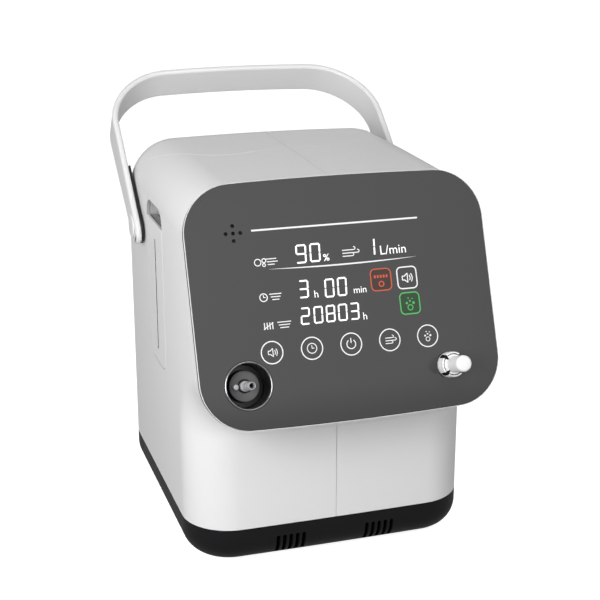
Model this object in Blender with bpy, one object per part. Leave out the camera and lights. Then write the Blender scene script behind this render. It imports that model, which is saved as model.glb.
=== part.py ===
"""Table-top oxygen concentrator: white clamshell housing on a black tray, tilted control panel,
carry handle, side filter doors, gas fittings, and the compressor, sieve beds and electronics inside.

Metres, +Z up, +Y to the back of the machine, +X to its right-hand side seen from the front.
The origin is on the floor under the middle of the bounding box.
"""

import math

import bmesh
import bpy
import numpy as np

# Housing.
PANEL_HALF_W = 0.120
PANEL_LIP = 0.00115
BODY_HALF_W = PANEL_HALF_W - PANEL_LIP
BODY_DEPTH = 0.2608
BODY_FRONT_Y = -0.1214
BODY_CORNER_R = 0.0393
BODY_WALL = 0.0028
BODY_CROWN = 0.0013
TOP_BACK_R = 0.068
TOP_RISE = 0.0042
UNDERCUT_R = 0.025
SEAM_Z = 0.036

# Black tray and feet.
TRAY_FLOOR_Z = 0.004
TRAY_CURVE_R = 0.022
TRAY_LIP_H = 0.004
TRAY_LIP_T = 0.002
TRAY_FLOOR_T = 0.003
SLOT_W = 0.003
SLOT_PITCH = 0.0054
SLOT_COUNT = 5
SLOT_GROUP_X = 0.0380
FOOT_R = 0.009
FOOT_PEG_R = 0.003

# Control panel.
PANEL_HALF_H = 0.09096
PANEL_CORNER_R = 0.0368
PANEL_BOW = 0.0028
PANEL_TILT = math.radians(21.23)
PANEL_Y = -0.1390
PANEL_Z = 0.229
GLASS_T = 0.002
RIM_W = 0.0006
FRAME_T = 0.005
SHADOW_GAP = 0.001
FRAME_OPENING = 0.008
TONGUE_L = 0.008
TONGUE_T = 0.002
SPEAKER_HOLE_R = 0.0014
SPEAKER_PITCH = 0.0056
SPEAKER_UV = (-0.0824, 0.0547)
KEY_PITCH = 0.03124
KEY_V = -0.03604

# Gas fittings on the panel.
OUTLET_UV = (-0.0829, -0.0587)
CUP_R = 0.0170
CUP_DEPTH = 0.021
BOSS_R = 0.0115
BOSS_DEPTH = 0.014
TRIM_W = 0.0013
NOZZLE_BORE_R = 0.0018
NOZZLE_WELL_R = 0.0050
KEY_PIN_R = 0.0022
NOZZLE_TIP = 0.010
PORT_UV = (0.078, -0.060)
PORT_R = 0.010
PORT_H = 0.0087
PORT_BORE_R = 0.0085
PLUG_R = 0.0078
PLUG_STUB_R = 0.006
PLUG_END = 0.0285
PLUG_DEPTH = 0.009

# Carry handle.
PIVOT_TO_BACK = 0.0924
PIVOT_BELOW_TOP = 0.0696
HANDLE_LEAN = math.radians(52)
BAND_T = 0.0055
ARM_CLEARANCE = 0.00295
HANDLE_HALF_W = BODY_HALF_W + ARM_CLEARANCE + BAND_T
HANDLE_REACH = 0.169
HANDLE_CORNER_R = 0.0576
HANDLE_BOW = 0.0062
BAND_GRIP_W = 0.031
BAND_PIVOT_W = 0.024
HANDLE_TAIL = 0.0045
PIN_R = 0.0049
PIN_HEAD_R = 0.010
PIN_HEAD_T = 0.0014

# Side filter doors.
DOOR_CENTRE_Y = -0.0055
DOOR_W = 0.059
DOOR_FOOT_Z = 0.143
DOOR_TOP_Z = 0.264
SCOOP_TOP_Z = 0.279
SCOOP_DEPTH = 0.009
DOOR_CORNER_R = 0.013
DOOR_T = 0.0026
DOOR_SLOT_W = 0.0015
DOOR_SLOT_H = 0.095
POCKET_DEPTH = 0.016
POCKET_WALL = 0.003
FILTER_T = 0.009
DOOR_LIP_T = 0.0022

# Rear wall.
GRILLE_W = 0.100
GRILLE_Z = 0.190
GRILLE_T = 0.0024
INLET_X = 0.052
INLET_Z = 0.078
INLET_W = 0.030
INLET_H = 0.050
DRAWER_W = 0.022
DRAWER_H = 0.011
DRAWER_D = 0.014

# Inside.
FAN_SIZE = 0.092
FAN_T = 0.025
FAN_R = 0.0425
MOTOR_R = 0.040
MOTOR_L = 0.082
MOTOR_Y = 0.045
MOTOR_Z = 0.092
CRANKCASE_W = 0.032
ISOLATOR_R = 0.010
ISOLATOR_H = 0.020
BED_R = 0.027
BED_H = 0.165
BED_X = 0.036
BED_Z = 0.046
TANK_R = 0.019
TANK_H = 0.150
COIL_R = 0.0035
COIL_ROWS = 5
COIL_PITCH = 0.014
COIL_W = 0.110
DECK_Z = 0.258
DECK_T = 0.002

# Fits.
GAP = 0.0003
DOOR_GAP = 0.0004
HOSE_GAP = 0.0012
ARC = 8
TRAY_ARC = 5

BODY_BACK_Y = BODY_FRONT_Y + BODY_DEPTH
INNER_BACK_Y = BODY_BACK_Y - BODY_WALL - BODY_CROWN
INNER_FRONT_Y = BODY_FRONT_Y + BODY_WALL + BODY_CROWN
INNER_HALF_W = BODY_HALF_W - BODY_WALL
PANEL_COS = math.cos(PANEL_TILT)
PANEL_SIN = math.sin(PANEL_TILT)
HOUSING_SETBACK = FRAME_T + SHADOW_GAP
HOUSING_MID_Z = PANEL_Z - HOUSING_SETBACK * PANEL_SIN
HOUSING_HALF_H = (PANEL_HALF_H + PANEL_BOW) * PANEL_COS
BODY_TOP_Z = HOUSING_MID_Z + HOUSING_HALF_H + TOP_RISE
PIVOT_Y = BODY_BACK_Y - PIVOT_TO_BACK
PIVOT_Z = BODY_TOP_Z - PIVOT_BELOW_TOP
FLOOR_Z = TRAY_FLOOR_Z + TRAY_FLOOR_T
WORLD = (np.zeros(3), np.array([1.0, 0, 0]), np.array([0, 1.0, 0]), np.array([0, 0, 1.0]))


# ---------------------------------------------------------------- helpers
def material(name, colour, roughness, metallic=0.0):
    made = bpy.data.materials.new(name)
    made.use_nodes = True
    shader = made.node_tree.nodes["Principled BSDF"]
    shader.inputs["Base Color"].default_value = (*colour, 1.0)
    shader.inputs["Roughness"].default_value = roughness
    shader.inputs["Metallic"].default_value = metallic
    return made


def solid(name, points, faces, look):
    """Closed mesh object with outward normals and smooth shading below 35 degrees."""
    mesh = bpy.data.meshes.new(name)
    mesh.from_pydata([tuple(p) for p in points], [], faces)
    made = bpy.data.objects.new(name, mesh)
    bpy.context.scene.collection.objects.link(made)
    mesh.materials.append(look)
    finish(mesh)
    return made


def finish(mesh):
    work = bmesh.new()
    work.from_mesh(mesh)
    bmesh.ops.remove_doubles(work, verts=work.verts, dist=1e-7)
    bmesh.ops.recalc_face_normals(work, faces=work.faces)
    for face in work.faces:
        face.smooth = True
    for edge in work.edges:
        edge.smooth = len(edge.link_faces) == 2 and edge.calc_face_angle(math.pi) < 0.61
    work.to_mesh(mesh)
    work.free()


def combine(target, others, operation):
    """Applies one Boolean per tool to the target's mesh and removes the tools."""
    for other in others:
        modifier = target.modifiers.new(operation.lower(), "BOOLEAN")
        modifier.operation = operation
        modifier.solver = "EXACT"
        modifier.object = other
    graph = bpy.context.evaluated_depsgraph_get()
    mesh = bpy.data.meshes.new_from_object(target.evaluated_get(graph))
    target.modifiers.clear()
    target.data = mesh
    finish(mesh)
    for other in others:
        bpy.data.objects.remove(other)
    return target


def cut(target, *tools):
    return combine(target, tools, "DIFFERENCE")


def weld(target, *tools):
    return combine(target, tools, "UNION")


def place(frame, points):
    origin, ex, ey, ez = frame
    points = np.asarray(points, float)
    return origin + points @ np.array([ex, ey, ez])


def frame_at(origin, axis):
    """Frame with its third axis along `axis`; its first axis is +X unless that is the axis."""
    ez = np.asarray(axis, float) / np.linalg.norm(axis)
    ex = np.array([1.0, 0, 0]) if abs(ez[0]) < 0.9 else np.array([0, 1.0, 0])
    ey = np.cross(ez, ex)
    ey /= np.linalg.norm(ey)
    return (np.asarray(origin, float), np.cross(ey, ez), ey, ez)


def loft(name, loops, look, ring=False):
    """Skins loops of equal length; a ring joins the last to the first instead of capping both."""
    count = len(loops[0])
    points = [p for loop in loops for p in loop]
    faces = []
    for row in range(len(loops) - (0 if ring else 1)):
        here = row * count
        there = (row + 1) % len(loops) * count
        for k in range(count):
            after = (k + 1) % count
            faces.append((here + k, here + after, there + after, there + k))
    if not ring:
        last = (len(loops) - 1) * count
        faces.append(tuple(range(count)))
        faces.append(tuple(range(last, last + count)))
    return solid(name, points, faces, look)


def prism(name, frame, outline, low, high, look, along=None):
    """Extrudes a flat outline between two heights, along the frame's third axis or `along`."""
    origin, ex, ey, ez = frame
    push = ez if along is None else np.asarray(along, float)
    flat = place(frame, [(x, y, 0) for x, y in outline])
    return loft(name, [flat + push * low, flat + push * high], look)


def turned(name, frame, profile, look, steps=24):
    """Solid of revolution about the frame's third axis from (radius, height) pairs."""
    loops = []
    for radius, height in profile:
        turn = np.arange(steps) * 2 * math.pi / steps
        circle = [(radius * math.cos(a), radius * math.sin(a), height) for a in turn]
        loops.append(place(frame, circle))
    return loft(name, loops, look)


def bored(name, frame, section, look, steps=24):
    """Ring of revolution from a closed (radius, height) section that stays off the axis."""
    loops = []
    for k in range(steps):
        a = k * 2 * math.pi / steps
        loops.append(place(frame, [(r * math.cos(a), r * math.sin(a), h) for r, h in section]))
    return loft(name, loops, look, ring=True)


def box(name, low, high, look, frame=WORLD):
    outline = [(low[0], low[1]), (high[0], low[1]), (high[0], high[1]), (low[0], high[1])]
    return prism(name, frame, outline, low[2], high[2], look)


def rounded(half_w, half_h, radii, steps=ARC):
    """Outline of a rectangle with corner radii in the order +x+y, -x+y, -x-y, +x-y."""
    outline = []
    for k, (sx, sy) in enumerate(((1, 1), (-1, 1), (-1, -1), (1, -1))):
        r = radii[k]
        for j in range(steps + 1):
            a = math.pi / 2 * (k + j / steps)
            outline.append(
                (sx * (half_w - r) + r * math.cos(a), sy * (half_h - r) + r * math.sin(a))
            )
    return outline


def shifted(outline, x, y):
    return [(px + x, py + y) for px, py in outline]


def curve_through(points, steps=4):
    """Smooth path through the points."""
    p = [np.asarray(q, float) for q in points]
    p = [2 * p[0] - p[1], *p, 2 * p[-1] - p[-2]]
    path = []
    for k in range(1, len(p) - 2):
        for j in range(steps):
            t = j / steps
            path.append(
                0.5
                * (
                    2 * p[k]
                    + (p[k + 1] - p[k - 1]) * t
                    + (2 * p[k - 1] - 5 * p[k] + 4 * p[k + 1] - p[k + 2]) * t * t
                    + (3 * p[k] - p[k - 1] - 3 * p[k + 1] + p[k + 2]) * t**3
                )
            )
    return [*path, p[-2]]


def hose(name, path, outer_r, inner_r, look, steps=8):
    """Open-ended tube along a path."""
    path = [np.asarray(q, float) for q in path]
    side = None
    outer = []
    inner = []
    for k, point in enumerate(path):
        ahead = path[min(k + 1, len(path) - 1)] - path[max(k - 1, 0)]
        ahead /= np.linalg.norm(ahead)
        if side is None:
            side = np.cross(ahead, [0.31, 0.52, 0.79])
        side = side - ahead * (side @ ahead)
        side /= np.linalg.norm(side)
        up = np.cross(ahead, side)
        turn = [2 * math.pi * j / steps for j in range(steps)]
        rim = [side * math.cos(a) + up * math.sin(a) for a in turn]
        outer.append([point + outer_r * q for q in rim])
        inner.append([point + inner_r * q for q in rim])
    return loft(name, outer + inner[::-1], look, ring=True)


def panel_frame(u=0.0, v=0.0):
    """Frame on the panel's outer face: first axis right, second up the slope, third outward."""
    slope = np.array([0, PANEL_SIN, PANEL_COS])
    origin = np.array([0, PANEL_Y, PANEL_Z]) + np.array([u, 0, 0]) + v * slope
    return (origin, np.array([1.0, 0, 0]), slope, np.array([0, -PANEL_COS, PANEL_SIN]))


def panel_outline(inset):
    """Rounded rectangle whose top and bottom edges bow outward."""
    half_w = PANEL_HALF_W - inset
    half_h = PANEL_HALF_H - inset
    outline = []
    for u, v in rounded(half_w, half_h, [PANEL_CORNER_R - inset] * 4):
        outline.append((u, v + PANEL_BOW * (1 - (u / PANEL_HALF_W) ** 2) * v / half_h))
    # The long straight edges get points of their own, so that the bow is a curve.
    full = []
    for k, (u, v) in enumerate(outline):
        full.append((u, v))
        nu, nv = outline[(k + 1) % len(outline)]
        if abs(nu - u) > half_w:
            for j in range(1, 6):
                x = u + (nu - u) * j / 6
                bow = PANEL_BOW * (1 - (x / PANEL_HALF_W) ** 2)
                full.append((x, math.copysign(half_h + bow, v)))
    return full


# ---------------------------------------------------------------- scene and looks
for old in list(bpy.data.objects):
    bpy.data.objects.remove(old)

WHITE = material("white_abs", (0.78, 0.78, 0.78), 0.38)
HANDLE_GREY = material("handle_abs", (0.72, 0.72, 0.73), 0.42)
BLACK = material("black_abs", (0.018, 0.018, 0.02), 0.45)
RIM = material("rim_lacquer", (0.8, 0.8, 0.82), 0.25)
GLASS = material("smoked_acrylic", (0.085, 0.085, 0.088), 0.12)
CHROME = material("bright_nickel", (0.75, 0.75, 0.77), 0.15, 1.0)
NOZZLE = material("nozzle_grey", (0.55, 0.55, 0.56), 0.3)
PORT_WHITE = material("port_white", (0.85, 0.85, 0.85), 0.3)
RUBBER = material("rubber", (0.03, 0.03, 0.03), 0.8)
STEEL = material("zinc_steel", (0.55, 0.56, 0.57), 0.35, 1.0)
ALUMINIUM = material("cast_aluminium", (0.62, 0.63, 0.64), 0.4, 1.0)
COPPER = material("motor_lacquer", (0.06, 0.07, 0.09), 0.4)
BOARD = material("board_green", (0.02, 0.13, 0.05), 0.5)
FOAM = material("filter_foam", (0.09, 0.09, 0.1), 0.95)
SILICONE = material("silicone_hose", (0.7, 0.72, 0.72), 0.5)
GREY = material("grey_nylon", (0.3, 0.31, 0.32), 0.5)
CAN = material("capacitor_can", (0.6, 0.6, 0.62), 0.3)


# ---------------------------------------------------------------- housing halves
def front_y(z, setback):
    """Depth of the plane that lies `setback` behind the panel's outer face."""
    return PANEL_Y + (PANEL_SIN * (z - PANEL_Z) + setback) / PANEL_COS


def upper_profile(inset, low):
    """Over the top and down the back: (y, z, outward y, outward z, crown, side radius, depth)."""
    side = PANEL_CORNER_R
    deep = PANEL_CORNER_R * PANEL_COS
    top = BODY_TOP_Z
    crown = PANEL_BOW * PANEL_COS
    rows = [(None, top - TOP_RISE, 0, 1, crown, side, deep)]
    rows.append((0.0, top - TOP_RISE * 0.4, 0, 1, crown, side, deep))
    centre = (BODY_BACK_Y - TOP_BACK_R, top - TOP_BACK_R)
    for k in range(ARC + 1):
        a = math.pi / 2 * k / ARC
        mix = k / ARC
        rows.append(
            (
                centre[0] + TOP_BACK_R * math.sin(a),
                centre[1] + TOP_BACK_R * math.cos(a),
                math.sin(a),
                math.cos(a),
                crown + (BODY_CROWN - crown) * mix,
                side + (BODY_CORNER_R - side) * mix,
                deep + (BODY_CORNER_R - deep) * mix,
            )
        )
    rows.append((BODY_BACK_Y, low, 1, 0, BODY_CROWN, BODY_CORNER_R, BODY_CORNER_R))
    return inset_rows(rows, inset)


def lower_profile(inset, low):
    """Back under the overhang, round the hollow blend and down the front."""
    side = PANEL_CORNER_R
    deep = PANEL_CORNER_R * PANEL_COS
    under = HOUSING_MID_Z - HOUSING_HALF_H
    crown = PANEL_BOW * PANEL_COS
    rows = [(None, under, 0, -1, crown, side, deep)]
    centre = (BODY_FRONT_Y - UNDERCUT_R, under - UNDERCUT_R)
    for k in range(ARC + 1):
        a = math.pi / 2 * k / ARC
        mix = k / ARC
        rows.append(
            (
                centre[0] + UNDERCUT_R * math.sin(a),
                centre[1] + UNDERCUT_R * math.cos(a),
                -math.sin(a),
                -math.cos(a),
                crown + (BODY_CROWN - crown) * mix,
                side + (BODY_CORNER_R - side) * mix,
                deep + (BODY_CORNER_R - deep) * mix,
            )
        )
    rows.append((BODY_FRONT_Y, low, -1, 0, BODY_CROWN, BODY_CORNER_R, BODY_CORNER_R))
    return inset_rows(rows, inset)


def inset_rows(rows, inset):
    moved = []
    for y, z, ny, nz, crown, side, deep in rows:
        y = None if y is None else y - ny * inset
        moved.append((y, z - nz * inset, ny, nz, crown, side - inset, deep - inset))
    return moved


def housing_form(name, side, inset, x_start, setback, low, look):
    """One side of the housing as a closed solid from x_start out to the flat side wall."""
    half = BODY_HALF_W - inset
    strips = []
    for rows in (upper_profile(inset, low), lower_profile(inset, low)):
        strip = []
        for y, z, ny, nz, crown, radius, deep in rows:
            line = []
            flat = [x_start + (half - radius - x_start) * k / 3 for k in range(3)]
            across = [(x, 0.0) for x in flat]
            for k in range(ARC + 1):
                a = math.pi / 2 * k / ARC
                x = half - radius + radius * math.sin(a)
                across.append((x, deep * (1 - math.cos(a))))
            for x, depth in across:
                depth += crown * (x / half) ** 2
                pz = z - nz * depth
                py = front_y(pz, setback) if y is None else y - ny * depth
                line.append((side * x, py, pz))
            strip.append(line)
        strips.append(strip)
    width = len(strips[0][0])
    points = []
    index = []
    for strip in strips:
        base = len(points)
        index.append([[base + r * width + c for c in range(width)] for r in range(len(strip))])
        points.extend(p for line in strip for p in line)
    faces = []
    for grid in index:
        for r in range(len(grid) - 1):
            for c in range(width - 1):
                faces.append((grid[r][c], grid[r][c + 1], grid[r + 1][c + 1], grid[r + 1][c]))
    over, under = index
    for c in (0, width - 1):
        faces.append(tuple([row[c] for row in over] + [row[c] for row in under][::-1]))
    for r in (0, -1):
        faces.append(tuple(list(over[r]) + list(under[r])[::-1]))
    return solid(name, points, faces, look)


def door_frame(side):
    """Frame on a side wall's outer face: first axis +Y, second +Z, third outward."""
    return (
        np.array([side * BODY_HALF_W, DOOR_CENTRE_Y, 0]),
        np.array([0, 1.0, 0]),
        np.array([0, 0, 1.0]),
        np.array([float(side), 0, 0]),
    )


def recess_outline(grow):
    half_h = (SCOOP_TOP_Z - DOOR_FOOT_Z) / 2
    outline = rounded(DOOR_W / 2 + grow, half_h + grow, [DOOR_CORNER_R + grow] * 4)
    return shifted(outline, 0, DOOR_FOOT_Z + half_h)


for side, name in ((-1, "casing_left"), (1, "casing_right")):
    shell = housing_form(name, side, 0, GAP / 2, HOUSING_SETBACK, SEAM_Z + GAP, WHITE)
    hollow = housing_form(
        "hollow", side, BODY_WALL, -0.004, HOUSING_SETBACK - 0.01, SEAM_Z - 0.01, WHITE
    )
    opening = prism("opening", door_frame(side), recess_outline(0), -0.01, 0.01, WHITE)
    pivot = frame_at((side * BODY_HALF_W, PIVOT_Y, PIVOT_Z), (side, 0, 0))
    hole = turned("hole", pivot, [(PIN_R + GAP, -0.01), (PIN_R + GAP, 0.01)], WHITE, 20)
    half = GRILLE_W / 2 + GAP
    vent = box(
        "vent",
        (-half, BODY_BACK_Y - 0.02, GRILLE_Z - half),
        (half, BODY_BACK_Y + 0.02, GRILLE_Z + half),
        WHITE,
    )
    cut(shell, hollow, opening, hole, vent)
    if side > 0:
        socket = box(
            "socket",
            (INLET_X - INLET_W / 2 - GAP, BODY_BACK_Y - 0.02, INLET_Z - INLET_H / 2 - GAP),
            (INLET_X + INLET_W / 2 + GAP, BODY_BACK_Y + 0.02, INLET_Z + INLET_H / 2 + GAP),
            WHITE,
        )
        cut(shell, socket)


# ---------------------------------------------------------------- tray and feet
def plan_outline(inset):
    """Plan of the lower body: crowned front and back, round corners."""
    half_d = BODY_DEPTH / 2 - inset
    mid = BODY_FRONT_Y + BODY_DEPTH / 2
    outline = []
    half_w = BODY_HALF_W - inset
    radius = max(BODY_CORNER_R - inset, 0.004)
    corners = rounded(half_w, half_d, [radius] * 4)
    for k, (x, y) in enumerate(corners):
        outline.append((x, y))
        nx, ny = corners[(k + 1) % len(corners)]
        if abs(nx - x) > half_w:
            outline.extend((x + (nx - x) * j / 4, y) for j in range(1, 4))
    crowned = []
    for x, y in outline:
        crown = BODY_CROWN * (x / BODY_HALF_W) ** 2 * y / half_d
        crowned.append((x, mid + y - crown))
    return crowned


def tray_loop(inset, z):
    return [(x, y, z) for x, y in plan_outline(inset)]


lip_in = BODY_WALL + GAP
lip_out = lip_in + TRAY_LIP_T
bend_z = TRAY_FLOOR_Z + TRAY_CURVE_R
inner_r = bend_z - FLOOR_Z
loops = []
for k in range(TRAY_ARC + 1):
    a = math.pi / 2 * k / TRAY_ARC
    loops.append(
        tray_loop(TRAY_CURVE_R * (1 - math.sin(a)), bend_z - TRAY_CURVE_R * math.cos(a))
    )
loops.append(tray_loop(0, SEAM_Z))
loops.append(tray_loop(lip_in, SEAM_Z))
loops.append(tray_loop(lip_in, SEAM_Z + TRAY_LIP_H))
loops.append(tray_loop(lip_out, SEAM_Z + TRAY_LIP_H))
for k in range(TRAY_ARC - 1):
    a = math.pi / 2 * k / (TRAY_ARC - 2)
    loops.append(
        tray_loop(lip_out + inner_r * (1 - math.cos(a)), bend_z - inner_r * math.sin(a))
    )
tray = loft("base_tray", loops, BLACK)
slots = []
for group in (-1, 1):
    for k in range(SLOT_COUNT):
        x = group * SLOT_GROUP_X + (k - (SLOT_COUNT - 1) / 2) * SLOT_PITCH
        slots.append(
            box(
                "slot",
                (x - SLOT_W / 2, BODY_FRONT_Y - 0.005, 0.0088),
                (x + SLOT_W / 2, BODY_FRONT_Y + 0.026, 0.0264),
                BLACK,
            )
        )
foot_places = [
    (sx * BODY_HALF_W * 0.62, BODY_FRONT_Y + BODY_DEPTH * share)
    for share in (0.2, 0.8)
    for sx in (-1, 1)
]
for x, y in foot_places:
    peg = frame_at((x, y, 0), (0, 0, 1))
    peg_r = FOOT_PEG_R + GAP
    slots.append(turned("peg", peg, [(peg_r, 0.002), (peg_r, 0.01)], BLACK, 12))
cut(tray, *slots)
for name, (x, y) in zip(
    ("foot_front_left", "foot_front_right", "foot_back_left", "foot_back_right"), foot_places
):
    profile = [
        (FOOT_R - 0.001, 0),
        (FOOT_R, 0.001),
        (FOOT_R, TRAY_FLOOR_Z - GAP),
        (FOOT_PEG_R, TRAY_FLOOR_Z - GAP),
        (FOOT_PEG_R, TRAY_FLOOR_Z + TRAY_FLOOR_T),
    ]
    turned(name, frame_at((x, y, 0), (0, 0, 1)), profile, RUBBER, 14)

# ---------------------------------------------------------------- panel frame and panel
face = panel_frame()
bezel = prism("panel_frame", face, panel_outline(0), -FRAME_T, 0, RIM)
tongue_outline = []
for u, v in panel_outline(BODY_WALL + GAP + PANEL_HALF_W - BODY_HALF_W):
    tongue_outline.append((u, v))
root = (face[0] - face[3] * (FRAME_T - 0.001), *face[1:])
tongue = prism("tongue", root, tongue_outline, 0, TONGUE_L, RIM, along=(0, 1, 0))
weld(bezel, tongue)
seat = prism("seat", face, panel_outline(RIM_W), -GLASS_T - GAP, 0.01, RIM)
clear = panel_outline(FRAME_OPENING)
window = prism("window", face, clear, -FRAME_T - 0.002, 0.01, RIM)
throat_outline = panel_outline(BODY_WALL + GAP + TONGUE_T + PANEL_HALF_W - BODY_HALF_W)
throat = prism("throat", root, throat_outline, 0, TONGUE_L + 0.01, RIM, along=(0, 1, 0))
cut(bezel, seat, window, throat)

glass = prism("front_panel", face, panel_outline(RIM_W + GAP), -GLASS_T, 0, GLASS)
ring_r = CUP_R + TRIM_W
tools = [
    turned("t", panel_frame(*OUTLET_UV), [(ring_r + GAP, -0.01), (ring_r + GAP, 0.01)], GLASS, 40),
    turned("t", panel_frame(*PORT_UV), [(PORT_R + GAP, -0.01), (PORT_R + GAP, 0.01)], GLASS, 32),
]
for du, dv in ((0, 0), (1, 0), (-1, 0), (0, 1), (0, -1)):
    spot = panel_frame(SPEAKER_UV[0] + du * SPEAKER_PITCH, SPEAKER_UV[1] + dv * SPEAKER_PITCH)
    hole_line = [(SPEAKER_HOLE_R, -0.01), (SPEAKER_HOLE_R, 0.01)]
    tools.append(turned("t", spot, hole_line, GLASS, 12))
cut(glass, *tools)

# ---------------------------------------------------------------- oxygen outlet
outlet = panel_frame(*OUTLET_UV)
seat_n = -GLASS_T - GAP
cup_section = [
    (NOZZLE_WELL_R, -BOSS_DEPTH),
    (BOSS_R, -BOSS_DEPTH),
    (BOSS_R, -CUP_DEPTH),
    (CUP_R - 0.0002, -CUP_DEPTH),
    (CUP_R - 0.0002, seat_n),
    (ring_r + 0.0008, seat_n),
    (ring_r + 0.0008, -CUP_DEPTH - 0.0025),
    (NOZZLE_WELL_R, -CUP_DEPTH - 0.0025),
]
bored("outlet_cup", outlet, cup_section, BLACK, 28)
trim_section = [
    (CUP_R, -GLASS_T),
    (ring_r, -GLASS_T),
    (ring_r, 0.0003),
    (ring_r - 0.0005, 0.0006),
    (CUP_R + 0.0004, 0.0006),
    (CUP_R, 0.0002),
]
bored("outlet_trim_ring", outlet, trim_section, CHROME, 32)
foot_n = -CUP_DEPTH - 0.0025 - GAP
nozzle_section = [
    (NOZZLE_BORE_R, foot_n - 0.008),
    (0.0028, foot_n - 0.008),
    (0.0028, foot_n - 0.002),
    (0.0065, foot_n - 0.002),
    (0.0065, foot_n),
    (0.0040, foot_n),
    (0.0040, -BOSS_DEPTH + 0.005),
    (0.0034, -BOSS_DEPTH + 0.006),
    (0.0028, -BOSS_DEPTH + 0.006),
    (0.0028, -0.002),
    (0.0034, -0.002),
    (0.0029, 0.0035),
    (0.0026, 0.0035),
    (0.0026, 0.0045),
    (0.0033, 0.0045),
    (0.0026, NOZZLE_TIP),
    (NOZZLE_BORE_R, NOZZLE_TIP),
]
bored("oxygen_nozzle", outlet, nozzle_section, NOZZLE, 14)
pin_spot = panel_frame(OUTLET_UV[0] - 0.0075, OUTLET_UV[1])
pin_line = [
    (KEY_PIN_R, -BOSS_DEPTH + GAP),
    (KEY_PIN_R, -BOSS_DEPTH + 0.0045),
    (KEY_PIN_R - 0.0005, -BOSS_DEPTH + 0.005),
]
turned("outlet_key_pin", pin_spot, pin_line, NOZZLE, 12)

# ---------------------------------------------------------------- nebuliser port
port = panel_frame(*PORT_UV)
port_section = [
    (0.004, -PLUG_DEPTH - 0.003),
    (PORT_R + 0.002, -PLUG_DEPTH - 0.003),
    (PORT_R + 0.002, seat_n),
    (PORT_R, seat_n),
    (PORT_R, PORT_H * 0.45),
    (PORT_R - 0.0006, PORT_H * 0.5),
    (PORT_R - 0.0006, PORT_H),
    (PORT_BORE_R, PORT_H),
    (PORT_BORE_R, -PLUG_DEPTH - 0.0005),
    (0.004, -PLUG_DEPTH - 0.0005),
]
collar = bored("nebuliser_socket", port, port_section, PORT_WHITE, 24)
notches = []
for k in range(4):
    a = math.pi / 4 + k * math.pi / 2
    way = port[1] * math.cos(a) + port[2] * math.sin(a)
    notch_frame = (port[0], way, np.cross(port[3], way), port[3])
    low = (PORT_BORE_R - 0.0005, -0.0016, PORT_H - 0.003)
    notches.append(box("notch", low, (PORT_R + 0.001, 0.0016, PORT_H + 0.001), PORT_WHITE, notch_frame))
cut(collar, *notches)
plug_profile = [
    (PLUG_STUB_R, -PLUG_DEPTH),
    (PLUG_R, -PLUG_DEPTH + 0.0015),
    (PLUG_R, PORT_H - 0.0006),
    (PLUG_R - 0.0006, PORT_H),
    (PLUG_STUB_R, PORT_H),
    (PLUG_STUB_R, PLUG_END - 0.0014),
    (PLUG_STUB_R - 0.0005, PLUG_END - 0.0004),
    (PLUG_STUB_R - 0.0016, PLUG_END),
]
turned("nebuliser_plug", port, plug_profile, PORT_WHITE, 22)

# ---------------------------------------------------------------- carry handle
lean_y = math.sin(HANDLE_LEAN)
lean_z = math.cos(HANDLE_LEAN)
arm_way = np.array([0, lean_y, lean_z])
band_way = np.array([0, lean_z, -lean_y])
pivot_mid = np.array([0, PIVOT_Y, PIVOT_Z])
half_line = HANDLE_HALF_W - BAND_T / 2
line_r = HANDLE_CORNER_R - BAND_T / 2
line_top = HANDLE_REACH - HANDLE_BOW - BAND_T / 2
end_r = BAND_PIVOT_W / 2
spine = []
for k in range(5):
    a = math.radians(80 - 15 * k)
    spine.append((-half_line, -HANDLE_TAIL - end_r * math.sin(a), end_r * math.cos(a)))
spine.append((-half_line, -HANDLE_TAIL, end_r))
for share in (0, 0.25, 0.5, 0.75):
    rise = (line_top - line_r) * share
    spine.append((-half_line, rise, end_r + (BAND_GRIP_W - BAND_PIVOT_W) / 2 * share))
for k in range(ARC + 1):
    a = math.pi / 2 * k / ARC
    x = -half_line + line_r * (1 - math.cos(a))
    spine.append((x, line_top - line_r + line_r * math.sin(a), BAND_GRIP_W / 2))
for share in (0.25, 0.5, 0.75):
    spine.append((-(half_line - line_r) * (1 - share), line_top, BAND_GRIP_W / 2))
spine.append((0.0, line_top, BAND_GRIP_W / 2))
spine += [(-x, rise, wide) for x, rise, wide in spine[-2::-1]]
loops = []
bowed = [
    np.array([x, rise + HANDLE_BOW * (1 - (x / half_line) ** 2) * max(rise, 0) / line_top])
    for x, rise, wide in spine
]
for k, (x, rise, wide) in enumerate(spine):
    ahead = bowed[min(k + 1, len(spine) - 1)] - bowed[max(k - 1, 0)]
    ahead /= np.linalg.norm(ahead)
    thick = np.array([-ahead[1], ahead[0]])
    edge = min(0.0022, wide * 0.6)
    loop = []
    for across, wide_at in rounded(BAND_T / 2, wide, [edge] * 4, 2):
        spot = bowed[k] + thick * across
        loop.append(pivot_mid + np.array([spot[0], 0, 0]) + arm_way * spot[1] + band_way * wide_at)
    loops.append(loop)
handle = loft("carry_handle", loops, HANDLE_GREY)
bores = []
for side in (-1, 1):
    spot = frame_at((side * BODY_HALF_W, PIVOT_Y, PIVOT_Z), (side, 0, 0))
    bores.append(turned("bore", spot, [(PIN_R + GAP, -0.01), (PIN_R + GAP, 0.03)], HANDLE_GREY, 20))
cut(handle, *bores)
handle_in = HANDLE_HALF_W - BAND_T - BODY_HALF_W
handle_out = HANDLE_HALF_W - BODY_HALF_W
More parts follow.
